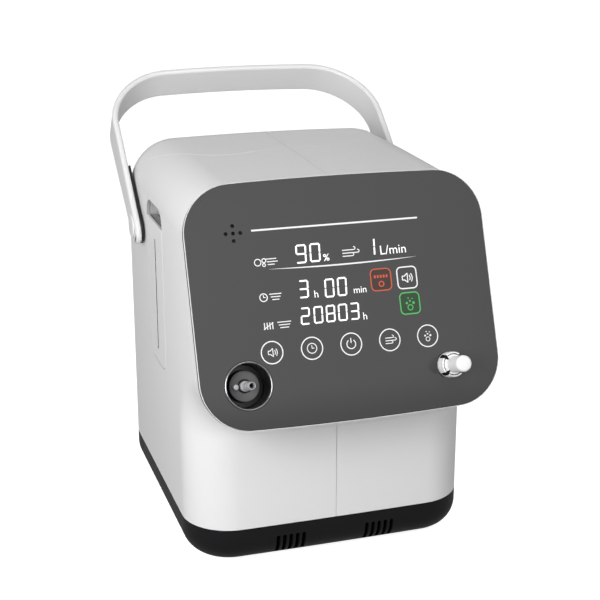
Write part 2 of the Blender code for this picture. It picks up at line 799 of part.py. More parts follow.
for side, tail in ((-1, "left"), (1, "right")):
    spot = frame_at((side * BODY_HALF_W, PIVOT_Y, PIVOT_Z), (side, 0, 0))
    head = handle_out + GAP
    pin = [
        (PIN_R, -BODY_WALL - 0.004),
        (PIN_R, head),
        (PIN_HEAD_R, head),
        (PIN_HEAD_R, head + PIN_HEAD_T * 0.6),
        (PIN_HEAD_R - 0.0006, head + PIN_HEAD_T),
    ]
    turned("pivot_pin_" + tail, spot, pin, HANDLE_GREY, 20)
    washer = [
        (PIN_R + GAP, GAP),
        (0.0105, GAP),
        (0.0105, handle_in - GAP),
        (PIN_R + GAP, handle_in - GAP),
    ]
    bored("pivot_washer_" + tail, spot, washer, BLACK, 20)
    clip = [
        (PIN_R + GAP, -BODY_WALL - 0.003),
        (0.0095, -BODY_WALL - 0.003),
        (0.0095, -BODY_WALL - GAP),
        (PIN_R + GAP, -BODY_WALL - GAP),
    ]
    bored("pivot_clip_" + tail, spot, clip, STEEL, 20)


# ---------------------------------------------------------------- filter doors, pockets, filters
def door_outline():
    half_w = DOOR_W / 2 - DOOR_GAP
    low = DOOR_FOOT_Z + DOOR_GAP
    half_h = (DOOR_TOP_Z - low) / 2
    foot_r = DOOR_CORNER_R - DOOR_GAP
    return shifted(rounded(half_w, half_h, [0.0012, 0.0012, foot_r, foot_r]), 0, low + half_h)


for side, tail in ((-1, "left"), (1, "right")):
    spot = door_frame(side)
    door = prism("filter_door_" + tail, spot, door_outline(), -DOOR_T, 0, WHITE)
    slot_mid = DOOR_FOOT_Z + (DOOR_TOP_Z - DOOR_FOOT_Z) * 0.49
    slot = shifted(rounded(DOOR_SLOT_W / 2, DOOR_SLOT_H / 2, [0.0007] * 4, 3), 0, slot_mid)
    cut(door, prism("slot", spot, slot, -0.01, 0.01, WHITE))
    lip_w = DOOR_W / 2 - DOOR_GAP - 0.001
    lip_low = (-lip_w, DOOR_TOP_Z - DOOR_LIP_T, -SCOOP_DEPTH + GAP)
    lip = box("lip", lip_low, (lip_w, DOOR_TOP_Z - 0.0001, -DOOR_T + 0.0005), WHITE, spot)
    weld(door, lip)
    rim = -BODY_WALL - GAP
    base = rim - POCKET_DEPTH + BODY_WALL
    pocket = prism("filter_pocket_" + tail, spot, recess_outline(POCKET_WALL), base, rim, GREY)
    half_h = (DOOR_TOP_Z - DOOR_FOOT_Z) / 2
    well = rounded(DOOR_W / 2, half_h, [0.002, 0.002, DOOR_CORNER_R, DOOR_CORNER_R])
    well = prism("well", spot, shifted(well, 0, DOOR_FOOT_Z + half_h), base + 0.002, 0, GREY)
    scoop = prism("scoop", spot, recess_outline(0), -SCOOP_DEPTH, 0, GREY)
    window = rounded(DOOR_W / 2 - 0.009, half_h - 0.014, [0.006] * 4)
    window = shifted(window, 0, DOOR_FOOT_Z + half_h)
    window = prism("window", spot, window, base - 0.01, base + 0.01, GREY)
    cut(pocket, well, scoop, window)
    pad_low = base + 0.002 + GAP
    pad_drop = DOOR_LIP_T / 2 + 0.0001
    pad = rounded(DOOR_W / 2 - 0.0006, half_h - 0.0009 - pad_drop, [0.002, 0.002, 0.0122, 0.0122])
    pad = shifted(pad, 0, DOOR_FOOT_Z + half_h - pad_drop)
    prism("intake_filter_" + tail, spot, pad, pad_low, pad_low + FILTER_T, FOAM)

# ---------------------------------------------------------------- rear grille, mains inlet
back = (
    np.array([0, BODY_BACK_Y - BODY_CROWN * 0.3, GRILLE_Z]),
    np.array([-1.0, 0, 0]),
    np.array([0, 0, 1.0]),
    np.array([0, 1.0, 0]),
)
half = GRILLE_W / 2
grille = prism("rear_grille", back, rounded(half, half, [0.0] * 4, 1)[::2], -GRILLE_T, 0, GREY)
bars = []
for k in range(8):
    mid = -half + GRILLE_W * (k + 1) / 9
    for x_mid in (-half / 2, half / 2):
        low = (x_mid - half / 2 + 0.004, mid - 0.0032, -0.01)
        bars.append(box("bar", low, (x_mid + half / 2 - 0.004, mid + 0.0032, 0.01), GREY, back))
cut(grille, *bars)

inlet = (
    np.array([INLET_X, BODY_BACK_Y - BODY_CROWN * 0.3, INLET_Z]),
    np.array([-1.0, 0, 0]),
    np.array([0, 0, 1.0]),
    np.array([0, 1.0, 0]),
)
body = box("mains_inlet", (-INLET_W / 2, -INLET_H / 2, -0.024), (INLET_W / 2, INLET_H / 2, 0), BLACK, inlet)
shroud = box("shroud", (-0.012, -0.004, -0.016), (0.012, 0.013, 0.01), BLACK, inlet)
drawer_z = -0.0145
hole = box(
    "hole",
    (-DRAWER_W / 2 - GAP, drawer_z - DRAWER_H / 2 - GAP, -DRAWER_D - GAP),
    (DRAWER_W / 2 + GAP, drawer_z + DRAWER_H / 2 + GAP, 0.01),
    BLACK,
    inlet,
)
cut(body, shroud, hole)
pins = []
for x, z in ((-0.007, 0.0005), (0.007, 0.0005), (0, 0.008)):
    pins.append(box("pin", (x - 0.001, z - 0.002, -0.017), (x + 0.001, z + 0.002, -0.004), BLACK, inlet))
weld(body, *pins)
box(
    "fuse_drawer",
    (-DRAWER_W / 2, drawer_z - DRAWER_H / 2, -DRAWER_D),
    (DRAWER_W / 2, drawer_z + DRAWER_H / 2, -0.0004),
    GREY,
    inlet,
)

# ---------------------------------------------------------------- compressor
motor = frame_at((0, MOTOR_Y, MOTOR_Z), (1, 0, 0))
turned(
    "compressor_motor",
    motor,
    [
        (MOTOR_R * 0.7, -MOTOR_L / 2),
        (MOTOR_R, -MOTOR_L / 2 + 0.006),
        (MOTOR_R, MOTOR_L / 2 - 0.006),
        (MOTOR_R * 0.7, MOTOR_L / 2),
    ],
    COPPER,
    28,
)
cradle_low = FLOOR_Z + GAP + ISOLATOR_H + GAP
cradle_top = cradle_low + 0.0025
sole = cradle_top + GAP
crank_side = [
    (-0.030, sole),
    (0.030, sole),
    (0.030, sole + 0.008),
    (0.024, sole + 0.012),
    (0.032, MOTOR_Z),
    (0.024, MOTOR_Z + 0.026),
    (0.024, MOTOR_Z + 0.044),
    (0.029, MOTOR_Z + 0.044),
    (0.029, MOTOR_Z + 0.060),
    (-0.029, MOTOR_Z + 0.060),
    (-0.029, MOTOR_Z + 0.044),
    (-0.024, MOTOR_Z + 0.044),
    (-0.024, MOTOR_Z + 0.026),
    (-0.032, MOTOR_Z),
    (-0.024, sole + 0.012),
    (-0.030, sole + 0.008),
]
for side, tail in ((-1, "left"), (1, "right")):
    spot = (
        np.array([side * (MOTOR_L / 2 + GAP), MOTOR_Y, 0]),
        np.array([0, 1.0, 0]),
        np.array([0, 0, 1.0]),
        np.array([float(side), 0, 0]),
    )
    cylinder = prism("compressor_cylinder_" + tail, spot, crank_side, 0, CRANKCASE_W, ALUMINIUM)
    fins = []
    for k in range(3):
        z = MOTOR_Z + 0.0285 + k * 0.0052
        fins.append(box("fin", (-0.04, z, CRANKCASE_W - 0.006), (0.04, z + 0.0024, 0.05), ALUMINIUM, spot))
    cut(cylinder, *fins)
reach = MOTOR_L / 2 + CRANKCASE_W + 0.004
cradle_side = [
    (-reach, cradle_low + 0.018),
    (-reach, cradle_low),
    (reach, cradle_low),
    (reach, cradle_low + 0.018),
    (reach - 0.0022, cradle_low + 0.018),
    (reach - 0.0022, cradle_top),
    (-reach + 0.0022, cradle_top),
    (-reach + 0.0022, cradle_low + 0.018),
]
cradle_frame = (
    np.array([0, MOTOR_Y, 0]),
    np.array([-1.0, 0, 0]),
    np.array([0, 0, 1.0]),
    np.array([0, 1.0, 0]),
)
prism("compressor_cradle", cradle_frame, cradle_side, -0.038, 0.038, STEEL)
for side, tail in ((-1, "left"), (1, "right")):
    for way, head in ((-1, "front"), (1, "back")):
        spot = (side * (reach - 0.014), MOTOR_Y + way * 0.026, FLOOR_Z + GAP)
        low = ISOLATOR_R * 0.8
        profile = [
            (ISOLATOR_R, 0),
            (ISOLATOR_R, 0.004),
            (low, 0.008),
            (low, ISOLATOR_H - 0.008),
            (ISOLATOR_R, ISOLATOR_H - 0.004),
            (ISOLATOR_R, ISOLATOR_H),
        ]
        turned(f"isolator_{head}_{tail}", frame_at(spot, (0, 0, 1)), profile, RUBBER, 14)

# ---------------------------------------------------------------- cooler and fan
fan_back = INNER_BACK_Y - 0.001
fan = (
    np.array([0, fan_back - FAN_T, GRILLE_Z]),
    np.array([-1.0, 0, 0]),
    np.array([0, 0, 1.0]),
    np.array([0, 1.0, 0]),
)
housing = prism("fan_frame", fan, rounded(FAN_SIZE / 2, FAN_SIZE / 2, [0.004] * 4, 2), 0, FAN_T, BLACK)
bore_r = FAN_R + 0.0015
cut(housing, turned("bore", fan, [(bore_r, -0.01), (bore_r, FAN_T + 0.01)], BLACK, 36))
bridge = [box("arm", (-0.047, -0.003, FAN_T - 0.003), (0.047, 0.003, FAN_T), BLACK, fan)]
bridge.append(box("arm", (-0.003, -0.047, FAN_T - 0.003), (0.003, 0.047, FAN_T), BLACK, fan))
bridge[0] = cut(
    bridge[0],
    box("trim", (-0.2, -0.01, -0.1), (-FAN_SIZE / 2 + 0.002, 0.01, 0.1), BLACK, fan),
    box("trim", (FAN_SIZE / 2 - 0.002, -0.01, -0.1), (0.2, 0.01, 0.1), BLACK, fan),
)
bridge[1] = cut(
    bridge[1],
    box("trim", (-0.01, -0.2, -0.1), (0.01, -FAN_SIZE / 2 + 0.002, 0.1), BLACK, fan),
    box("trim", (-0.01, FAN_SIZE / 2 - 0.002, -0.1), (0.01, 0.2, 0.1), BLACK, fan),
)
weld(housing, *bridge)
blades = 7
hub_r = 0.017
rotor_loops = []
for k in range(5):
    twist = math.radians(13 * k)
    loop = []
    for b in range(blades):
        start = 2 * math.pi * b / blades
        for r, a in ((hub_r, 0), (FAN_R, 0.04), (FAN_R, 0.13), (hub_r, 0.22), (hub_r, 0.55)):
            turn = start + a + twist
            loop.append((r * math.cos(turn), r * math.sin(turn), 0.003 + 0.0042 * k))
    rotor_loops.append(place(fan, loop))
loft("fan_rotor", rotor_loops, BLACK)

coil_y = fan_back - FAN_T - 0.010
path = []
coil_low = GRILLE_Z - COIL_PITCH * (COIL_ROWS - 1) / 2
for row in range(COIL_ROWS):
    way = 1 if row % 2 == 0 else -1
    z = coil_low + row * COIL_PITCH
    path.append((-way * COIL_W / 2, coil_y, z))
    path.append((way * COIL_W / 2, coil_y, z))
    if row < COIL_ROWS - 1:
        for k in range(1, 4):
            a = math.pi * k / 4
            x = way * (COIL_W / 2 + COIL_PITCH / 2 * math.sin(a))
            path.append((x, coil_y, z + COIL_PITCH / 2 * (1 - math.cos(a))))
hose("heat_exchanger", path, COIL_R, COIL_R - 0.0008, ALUMINIUM, 7)

# ---------------------------------------------------------------- sieve beds, tank, valves
bed_y = INNER_FRONT_Y + BED_R + 0.022
for side, tail in ((-1, "left"), (1, "right")):
    spot = frame_at((side * BED_X, bed_y, BED_Z), (0, 0, 1))
    profile = [
        (BED_R, 0),
        (BED_R, 0.006),
        (BED_R - 0.002, 0.006),
        (BED_R - 0.002, BED_H - 0.006),
        (BED_R, BED_H - 0.006),
        (BED_R, BED_H),
    ]
    turned("sieve_bed_" + tail, spot, profile, ALUMINIUM, 28)
tank_y = bed_y + BED_R + TANK_R
spot = frame_at((0, tank_y, BED_Z), (0, 0, 1))
profile = [
    (TANK_R - 0.004, 0),
    (TANK_R, 0.004),
    (TANK_R, TANK_H - 0.004),
    (TANK_R - 0.004, TANK_H),
]
turned("oxygen_tank", spot, profile, GREY, 24)
stand = box(
    "bed_stand",
    (-BED_X - BED_R, bed_y - BED_R + 0.004, FLOOR_Z + GAP),
    (BED_X + BED_R, tank_y + TANK_R - 0.004, BED_Z - GAP),
    GREY,
)
hollow = box(
    "hollow",
    (-BED_X - BED_R + 0.003, bed_y - BED_R - 0.01, FLOOR_Z - 0.01),
    (BED_X + BED_R - 0.003, tank_y + TANK_R + 0.01, BED_Z - GAP - 0.003),
    GREY,
)
cut(stand, hollow)
block_z = BED_Z + BED_H + GAP
block = box(
    "valve_manifold",
    (-BED_X - BED_R + 0.004, bed_y - 0.018, block_z),
    (BED_X + BED_R - 0.004, bed_y + 0.018, block_z + 0.018),
    ALUMINIUM,
)
for side, tail in ((-1, "left"), (1, "right")):
    spot = frame_at((side * BED_X * 0.6, bed_y, block_z + 0.018 + GAP), (0, 0, 1))
    profile = [(0.011, 0), (0.011, 0.020), (0.005, 0.020), (0.005, 0.026)]
    turned("solenoid_valve_" + tail, spot, profile, BLACK, 18)

# ---------------------------------------------------------------- electronics
deck_front = bed_y + BED_R + 0.006
deck_back = INNER_BACK_Y - 0.040
pocket_reach = INNER_HALF_W - POCKET_DEPTH + BODY_WALL - GAP - 0.004
deck = box("deck_plate", (-pocket_reach, deck_front, DECK_Z), (pocket_reach, deck_back, DECK_Z + DECK_T), STEEL)
board_z = DECK_Z + DECK_T + 0.005
posts = []
for x in (-0.062, 0.038):
    for y in (deck_front + 0.008, deck_back - 0.016):
        spot = frame_at((x, y, DECK_Z), (0, 0, 1))
        posts.append(turned("post", spot, [(0.003, 0.001), (0.003, board_z - DECK_Z)], STEEL, 12))
weld(deck, *posts)
board_low = board_z + GAP
board = box(
    "main_board",
    (-0.068, deck_front + 0.002, board_low),
    (0.044, deck_back - 0.010, board_low + 0.0016),
    BOARD,
)
chips = []
for x, y, w, d, h in (
    (-0.045, 0.2, 0.030, 0.022, 0.014),
    (0.010, 0.25, 0.026, 0.026, 0.004),
    (-0.045, 0.7, 0.026, 0.020, 0.018),
    (0.020, 0.75, 0.030, 0.014, 0.010),
):
    mid_y = deck_front + (deck_back - deck_front) * y
    low = (x - w / 2, mid_y - d / 2, board_low + 0.001)
    chips.append(box("chip", low, (x + w / 2, mid_y + d / 2, board_low + 0.0016 + h), BOARD))
weld(board, *chips)
cap_y = deck_front + 0.026
turned(
    "run_capacitor",
    frame_at((0.066, cap_y, DECK_Z + DECK_T + GAP + 0.0165), (0, 1, 0)),
    [(0.0145, -0.022), (0.0165, -0.020), (0.0165, 0.020), (0.0145, 0.022)],
    CAN,
    20,
)
box(
    "power_supply",
    (0.050, cap_y + 0.026, DECK_Z + DECK_T + GAP),
    (0.084, deck_back - 0.006, DECK_Z + DECK_T + GAP + 0.026),
    BLACK,
)
display = panel_frame()
module = box("display_board", (-0.064, -0.046, -0.0120), (0.092, 0.066, -0.0104), BOARD, display)
lamps = [box("lamps", (-0.060, -0.022, -0.0110), (0.062, 0.046, -0.0050), BOARD, display)]
for k in range(-1, 3):
    spot = panel_frame(k * KEY_PITCH, KEY_V)
    lamps.append(turned("key", spot, [(0.005, -0.0110), (0.005, -GLASS_T - 0.0006)], BOARD, 12))
weld(module, *lamps)
turned(
    "speaker",
    panel_frame(*SPEAKER_UV),
    [(0.008, -0.0135), (0.008, -0.0095), (0.014, -0.0055), (0.014, -0.0030)],
    BLACK,
    20,
)

# ---------------------------------------------------------------- gas line to the outlet
tail_n = foot_n - 0.008 - GAP
turned(
    "bacteria_filter",
    outlet,
    [
        (0.003, tail_n - 0.026),
        (0.003, tail_n - 0.019),
        (0.013, tail_n - 0.017),
        (0.013, tail_n - 0.007),
        (0.004, tail_n - 0.005),
        (0.004, tail_n),
    ],
    PORT_WHITE,
    20,
)
sensor_low = np.array([-0.1, bed_y + 0.004, 0.206])
box(
    "oxygen_sensor",
    tuple(sensor_low),
    tuple(sensor_low + np.array([0.026, 0.044, 0.018])),
    GREY,
)
start = outlet[0] + outlet[3] * (tail_n - 0.026 - HOSE_GAP)
behind = -outlet[3]
goal = np.array([sensor_low[0] + 0.013, sensor_low[1] - HOSE_GAP, sensor_low[2] + 0.009])
line = curve_through(
    [
        start,
        start + behind * 0.012,
        start + behind * 0.026 + [0, 0, 0.016],
        goal - [0, 0.016, 0.010],
        goal,
    ]
)
hose("outlet_hose", line, 0.0032, 0.0018, SILICONE, 6)
feed_from = np.array([-(MOTOR_L / 2 + GAP + CRANKCASE_W / 2), MOTOR_Y, MOTOR_Z + 0.060 + HOSE_GAP])
feed_to = np.array([-COIL_W / 2 - 0.0005, coil_y, coil_low])
line = curve_through(
    [
        feed_from,
        feed_from + [0, 0, 0.010],
        feed_from + [-0.006, 0.022, 0.018],
        feed_to + [-0.018, -0.004, 0],
        feed_to + [-0.003, 0, 0],
    ]
)
hose("compressor_hose", line, 0.0042, 0.0026, SILICONE, 6)
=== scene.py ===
"""Table-top oxygen concentrator: white two-part housing on a black tray, tilted smoked panel,
carry handle, side filter doors and gas fittings, round its compressor, sieve beds and boards."""

import math

import bmesh
import bpy
from mathutils import Matrix, Vector
from mathutils.bvhtree import BVHTree


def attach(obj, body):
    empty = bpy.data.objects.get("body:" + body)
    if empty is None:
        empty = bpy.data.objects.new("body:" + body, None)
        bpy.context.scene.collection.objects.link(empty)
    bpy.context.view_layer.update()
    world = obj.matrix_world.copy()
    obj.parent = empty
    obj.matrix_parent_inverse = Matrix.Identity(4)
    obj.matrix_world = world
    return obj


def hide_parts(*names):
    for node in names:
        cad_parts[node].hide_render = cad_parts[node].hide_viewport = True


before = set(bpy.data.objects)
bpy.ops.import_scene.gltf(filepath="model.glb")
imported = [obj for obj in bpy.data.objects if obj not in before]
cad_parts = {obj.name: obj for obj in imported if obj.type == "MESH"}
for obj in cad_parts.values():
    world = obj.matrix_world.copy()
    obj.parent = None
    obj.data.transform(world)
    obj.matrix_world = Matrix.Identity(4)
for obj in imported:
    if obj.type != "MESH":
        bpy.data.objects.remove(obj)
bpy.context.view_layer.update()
scene = bpy.context.scene
scene.view_settings.view_transform = "Standard"

# ---------------------------------------------------------------- camera
# A long lens on a stand, a little to the left of the machine and looking down on it.
camera_data = bpy.data.cameras.new("camera")
camera_data.sensor_width = 36
camera_data.lens = 79.08
camera_data.clip_end = 60
camera = bpy.data.objects.new("camera", camera_data)
camera.location = (-0.32365, -1.03565, 0.52808)
camera.rotation_euler = (math.radians(90 - 17.572), 0, math.radians(-17.754))
scene.collection.objects.link(camera)
scene.camera = camera

# ---------------------------------------------------------------- studio
# A white sweep under the machine with a wall far behind it, an even white room and six softboxes.
sweep_half = 25
wall_r = 24
wall_h = 16
sweep_paper = bpy.data.materials.new("sweep_paper")
sweep_paper.use_nodes = True
sweep_shader = sweep_paper.node_tree.nodes["Principled BSDF"]
sweep_shader.inputs["Base Color"].default_value = (0.8, 0.8, 0.8, 1)
sweep_shader.inputs["Roughness"].default_value = 1.0
sweep_shader.inputs["Specular IOR Level"].default_value = 0.0
sweep_shader.inputs["Emission Color"].default_value = (1, 1, 1, 1)
sweep_shader.inputs["Emission Strength"].default_value = 0.86


def paper(name, mesh):
    """Sheet of studio paper that the camera sees but that throws no light back on the machine."""
    data = bpy.data.meshes.new(name)
    mesh.to_mesh(data)
    mesh.free()
    data.materials.append(sweep_paper)
    sheet = bpy.data.objects.new(name, data)
    scene.collection.objects.link(sheet)
    sheet.visible_diffuse = False
    sheet.visible_glossy = False
    return sheet


mesh = bmesh.new()
bmesh.ops.create_grid(mesh, x_segments=1, y_segments=1, size=sweep_half)
sweep = paper("sweep", mesh)
mesh = bmesh.new()
bmesh.ops.create_circle(mesh, cap_ends=False, segments=64, radius=wall_r)
grown = bmesh.ops.extrude_edge_only(mesh, edges=mesh.edges[:])
upper = [g for g in grown["geom"] if isinstance(g, bmesh.types.BMVert)]
bmesh.ops.translate(mesh, vec=(0, 0, wall_h), verts=upper)
backdrop = paper("backdrop", mesh)
backdrop.visible_shadow = False

room = bpy.data.worlds.new("room")
room.use_nodes = True
room.node_tree.nodes["Background"].inputs["Color"].default_value = (1, 1, 1, 1)
room.node_tree.nodes["Background"].inputs["Strength"].default_value = 0.30
scene.world = room


def softbox(name, place, aim, width, height, power):
    lamp = bpy.data.lights.new(name, "AREA")
    lamp.shape = "RECTANGLE"
    lamp.size = width
    lamp.size_y = height
    lamp.energy = power
    holder = bpy.data.objects.new(name, lamp)
    holder.location = place
    way = Vector(aim) - Vector(place)
    holder.rotation_euler = way.to_track_quat("-Z", "Y").to_euler()
    scene.collection.objects.link(holder)
    return holder


softbox("key_softbox", (-0.52, -0.60, 0.42), (-0.05, -0.08, 0.20), 0.34, 0.40, 4.5)
softbox("top_softbox", (0.10, -0.70, 1.20), (0, 0, 0.30), 0.9, 0.9, 4.5)
softbox("left_softbox", (-0.90, 0.10, 0.25), (-0.10, 0, 0.20), 0.5, 0.5, 0.8)
softbox("shoulder_softbox", (-0.75, 0.25, 0.75), (0, 0.10, 0.33), 0.5, 0.5, 0.5)
softbox("right_softbox", (0.90, -0.50, 0.70), (0.05, 0, 0.30), 0.5, 0.5, 0.9)
softbox("front_softbox", (0.35, -1.30, 0.60), (0, 0, 0.20), 0.8, 0.8, 2.0)

# ---------------------------------------------------------------- housing halves
# Two injection-moulded shells of white ABS that meet on the centre line, held together from inside.
# Each has a door recess in its side wall, a pivot hole, half of the fan opening in its back, and
# a low bead across its top.
housing_half_w = 0.11885
housing_front_y = -0.1214
housing_back_y = 0.1394
housing_corner_r = 0.0393
housing_wall = 0.0028
housing_top_z = 0.31843
housing_under_z = 0.13943
top_back_r = 0.068
under_r = 0.025
seam_z = 0.0363
seam_x = 0.00015
panel_tilt = math.radians(21.23)
panel_centre = Vector((0, -0.1390, 0.229))
panel_normal = Vector((0, -math.cos(panel_tilt), math.sin(panel_tilt)))
panel_slope = Vector((0, math.sin(panel_tilt), math.cos(panel_tilt)))
housing_setback = 0.006
front_corner_r = 0.0368
front_corner_drop = front_corner_r * math.cos(panel_tilt)
top_crown = 0.00261
wall_crown = 0.0013
pivot_y = 0.0470
pivot_z = 0.24883
pivot_hole_r = 0.0052
grille_z = 0.190
grille_half = 0.050
inlet_x = 0.052
inlet_z = 0.078
inlet_half_w = 0.015
inlet_half_h = 0.025
snap_gap = 0.0003
door_y = -0.0055
door_w = 0.059
door_foot_z = 0.143
scoop_top_z = 0.279
door_corner_r = 0.013
bead_h = 0.00042
left_ridge = ((-109, 54), (-95, 25), (-81, 6), (-66, -2.5), (-52, -5), (-36, -2), (-18, 5), (-0.5, 14))
right_ridge = ((0.5, 3), (20, 5.5), (39, 13.5), (54.5, 25), (69, 41), (84, 58), (98, 78))


def moulded(
    name, colour, rough, spread=0.03, grain=0.00003, fineness=1500, metal=0.0, gloss=0.5, uneven=1.0
):
    """Moulded or machined finish: slow tone drift, uneven sheen, fine grain and a few worn spots."""
    look = bpy.data.materials.new(name)
    look.use_nodes = True
    nodes = look.node_tree.nodes
    links = look.node_tree.links
    shader = nodes["Principled BSDF"]
    shader.inputs["Metallic"].default_value = metal
    shader.inputs["Specular IOR Level"].default_value = gloss

    def node(kind, values):
        made = nodes.new("ShaderNode" + kind)
        for entry, value in values.items():
            made.inputs[entry].default_value = value
        return made

    darker = (*[c * (1 - spread) for c in colour], 1)
    lighter = (*[min(1, c * (1 + spread)) for c in colour], 1)
    faded = (*[0.5 * c + 0.5 * sum(colour) / 3 * 0.9 for c in colour], 1)
    low_sheen = max(0.02, rough - 0.05 * uneven)
    high_sheen = min(1, rough + 0.07 * uneven)
    spot = nodes.new("ShaderNodeTexCoord")
    drift = node("TexNoise", {"Scale": 14, "Detail": 3})
    tone = node("Mix", {6: darker, 7: lighter})
    tone.data_type = "RGBA"
    scuff = node("TexNoise", {"Scale": 160, "Detail": 6, "Distortion": 1.4})
    worn = node("MapRange", {"From Min": 0.64, "From Max": 0.76, "To Max": 0.35})
    rubbed = node("Mix", {7: faded})
    rubbed.data_type = "RGBA"
    sheen = node("MapRange", {"From Min": 0.3, "From Max": 0.75, "To Min": low_sheen, "To Max": high_sheen})
    fine = node("TexNoise", {"Scale": fineness, "Detail": 2})
    relief = node("Bump", {"Strength": 0.6, "Distance": grain})
    for source, out, target, entry in (
        (spot, "Object", drift, "Vector"),
        (drift, "Fac", tone, 0),
        (spot, "Object", scuff, "Vector"),
        (scuff, "Fac", worn, "Value"),
        (worn, "Result", rubbed, 0),
        (tone, 2, rubbed, 6),
        (rubbed, 2, shader, "Base Color"),
        (scuff, "Fac", sheen, "Value"),
        (sheen, "Result", shader, "Roughness"),
        (spot, "Object", fine, "Vector"),
        (fine, "Fac", relief, "Height"),
        (relief, "Normal", shader, "Normal"),
    ):
        links.new(source.outputs[out], target.inputs[entry])
    return look


def blank(name, mesh, look, turn_out=True):
    """A piece as it leaves the mould, before its openings are cut and its edges softened."""
    if turn_out:
        bmesh.ops.remove_doubles(mesh, verts=mesh.verts, dist=1e-6)
        bmesh.ops.recalc_face_normals(mesh, faces=mesh.faces)
    data = bpy.data.meshes.new(name)
    mesh.to_mesh(data)
    mesh.free()
    data.materials.append(look)
    piece = bpy.data.objects.new(name, data)
    scene.collection.objects.link(piece)
    return piece


def settle(piece):
    """Applies the piece's modifiers to its mesh."""
    graph = bpy.context.evaluated_depsgraph_get()
    data = bpy.data.meshes.new_from_object(piece.evaluated_get(graph))
    piece.modifiers.clear()
    piece.data = data
    return piece


def carve(piece, cutters, way="DIFFERENCE"):
    for cutter in cutters:
        opening = piece.modifiers.new("opening", "BOOLEAN")
        opening.operation = way
        opening.solver = "EXACT"
        opening.object = cutter
        opening.material_mode = "TRANSFER"
    settle(piece)
    for cutter in cutters:
        bpy.data.objects.remove(cutter)
    return piece


def soften(piece, edge, rounds=3, corner=32):
    """Breaks the sharp edges, and shades flats flat and rounds round."""
    if edge:
        rim = piece.modifiers.new("rim", "BEVEL")
        rim.width = edge
        rim.segments = rounds
        rim.limit_method = "ANGLE"
        rim.angle_limit = math.radians(corner)
        rim.use_clamp_overlap = False
        settle(piece)
    work = bmesh.new()
    work.from_mesh(piece.data)
    bmesh.ops.remove_doubles(work, verts=work.verts, dist=2e-7)
    bmesh.ops.dissolve_degenerate(work, edges=work.edges, dist=1e-7)
    for face in work.faces:
        face.smooth = True
    for seam in work.edges:
        seam.smooth = len(seam.link_faces) == 2 and seam.calc_face_angle(3) < math.radians(corner)
    work.to_mesh(piece.data)
    work.free()
    shading = piece.modifiers.new("shading", "WEIGHTED_NORMAL")
    shading.keep_sharp = True
    return settle(piece)


def round_corner(mesh, corner, radius, rounds):
    """Rounds one corner of a flat outline."""
    bmesh.ops.bevel(
        mesh, geom=[corner], offset=radius, offset_type="OFFSET", segments=rounds,
        profile=0.5, affect="VERTICES", material=-1,
    )


def round_edges(mesh, edges, radius, rounds):
    """Rounds edges that may run into one another."""
    bmesh.ops.bevel(
        mesh, geom=edges, offset=radius, offset_type="OFFSET", segments=rounds, profile=0.5,
        affect="EDGES", clamp_overlap=False, material=-1,
    )


def hollow(piece, thickness):
    """Turns an open sheet into a wall that grows inward from it."""
    wall = piece.modifiers.new("wall", "SOLIDIFY")
    wall.thickness = thickness
    wall.offset = -1
    wall.use_even_offset = True
    settle(piece)


def thicken(mesh, faces, way):
    """Extrudes faces by a vector and returns the new ones."""
    grown = bmesh.ops.extrude_face_region(mesh, geom=faces)
    moved = [g for g in grown["geom"] if isinstance(g, bmesh.types.BMVert)]
    bmesh.ops.translate(mesh, vec=way, verts=moved)
    return [g for g in grown["geom"] if isinstance(g, bmesh.types.BMFace)]


def slice_all(mesh, place, way, clear=False):
    """Cuts every face that a plane crosses, and can clear away what lies beyond it."""
    bmesh.ops.bisect_plane(
        mesh, geom=mesh.verts[:] + mesh.edges[:] + mesh.faces[:], dist=1e-6,
        plane_co=place, plane_no=way, clear_outer=clear,
    )


def plate(half_w, half_h, radii, low, high, rounds=10):
    """Plate with rounded corners in the order lower left, lower right, upper left, upper right."""
    mesh = bmesh.new()
    bmesh.ops.create_grid(mesh, x_segments=1, y_segments=1, size=1)
    bmesh.ops.scale(mesh, vec=(half_w, half_h, 1), verts=mesh.verts)
    corners = sorted(mesh.verts, key=lambda v: (v.co.y > 0, v.co.x > 0))
    for corner, radius in zip(corners, radii):
        if radius:
            round_corner(mesh, corner, radius, rounds)
    bmesh.ops.translate(mesh, vec=(0, 0, low), verts=mesh.verts)
    thicken(mesh, mesh.faces[:], (0, 0, high - low))
    return mesh


def turning(outline, steps=48, closed=False):
    """Spins (radius, height) points round the Z axis; a closed outline makes a ring."""
    mesh = bmesh.new()
    row = [mesh.verts.new((r, 0, h)) for r, h in outline]
    lines = [mesh.edges.new(pair) for pair in zip(row, row[1:])]
    if closed:
        lines.append(mesh.edges.new((row[-1], row[0])))
    bmesh.ops.spin(
        mesh,
        geom=row + lines,
        axis=(0, 0, 1),
        cent=(0, 0, 0),
        angle=2 * math.pi,
        steps=steps,
        use_merge=True,
    )
    return mesh


def set_at(mesh, origin, across, up):
    """Carries a mesh from its own axes to a place, given its X and Y directions there."""
    x, y = Vector(across), Vector(up)
    z = x.cross(y)
    turn = Matrix((x, y, z)).transposed().to_4x4()
    bmesh.ops.transform(mesh, matrix=Matrix.Translation(origin) @ turn, verts=mesh.verts)
    return mesh


def on_side(mesh, side, y, z, depth=0.0):
    """Sets a mesh on a side wall: its X runs along the wall, its Y up, its Z outward."""
    origin = (side * (housing_half_w + depth), y, z)
    return set_at(mesh, origin, (0, side, 0), (0, 0, 1))


def on_panel(mesh, u=0.0, v=0.0, n=0.0):
    """Sets a mesh on the panel: its X to the right, its Y up the slope, its Z outward."""
    origin = panel_centre + Vector((u, 0, 0)) + panel_slope * v + panel_normal * n
    return set_at(mesh, origin, (1, 0, 0), panel_slope)


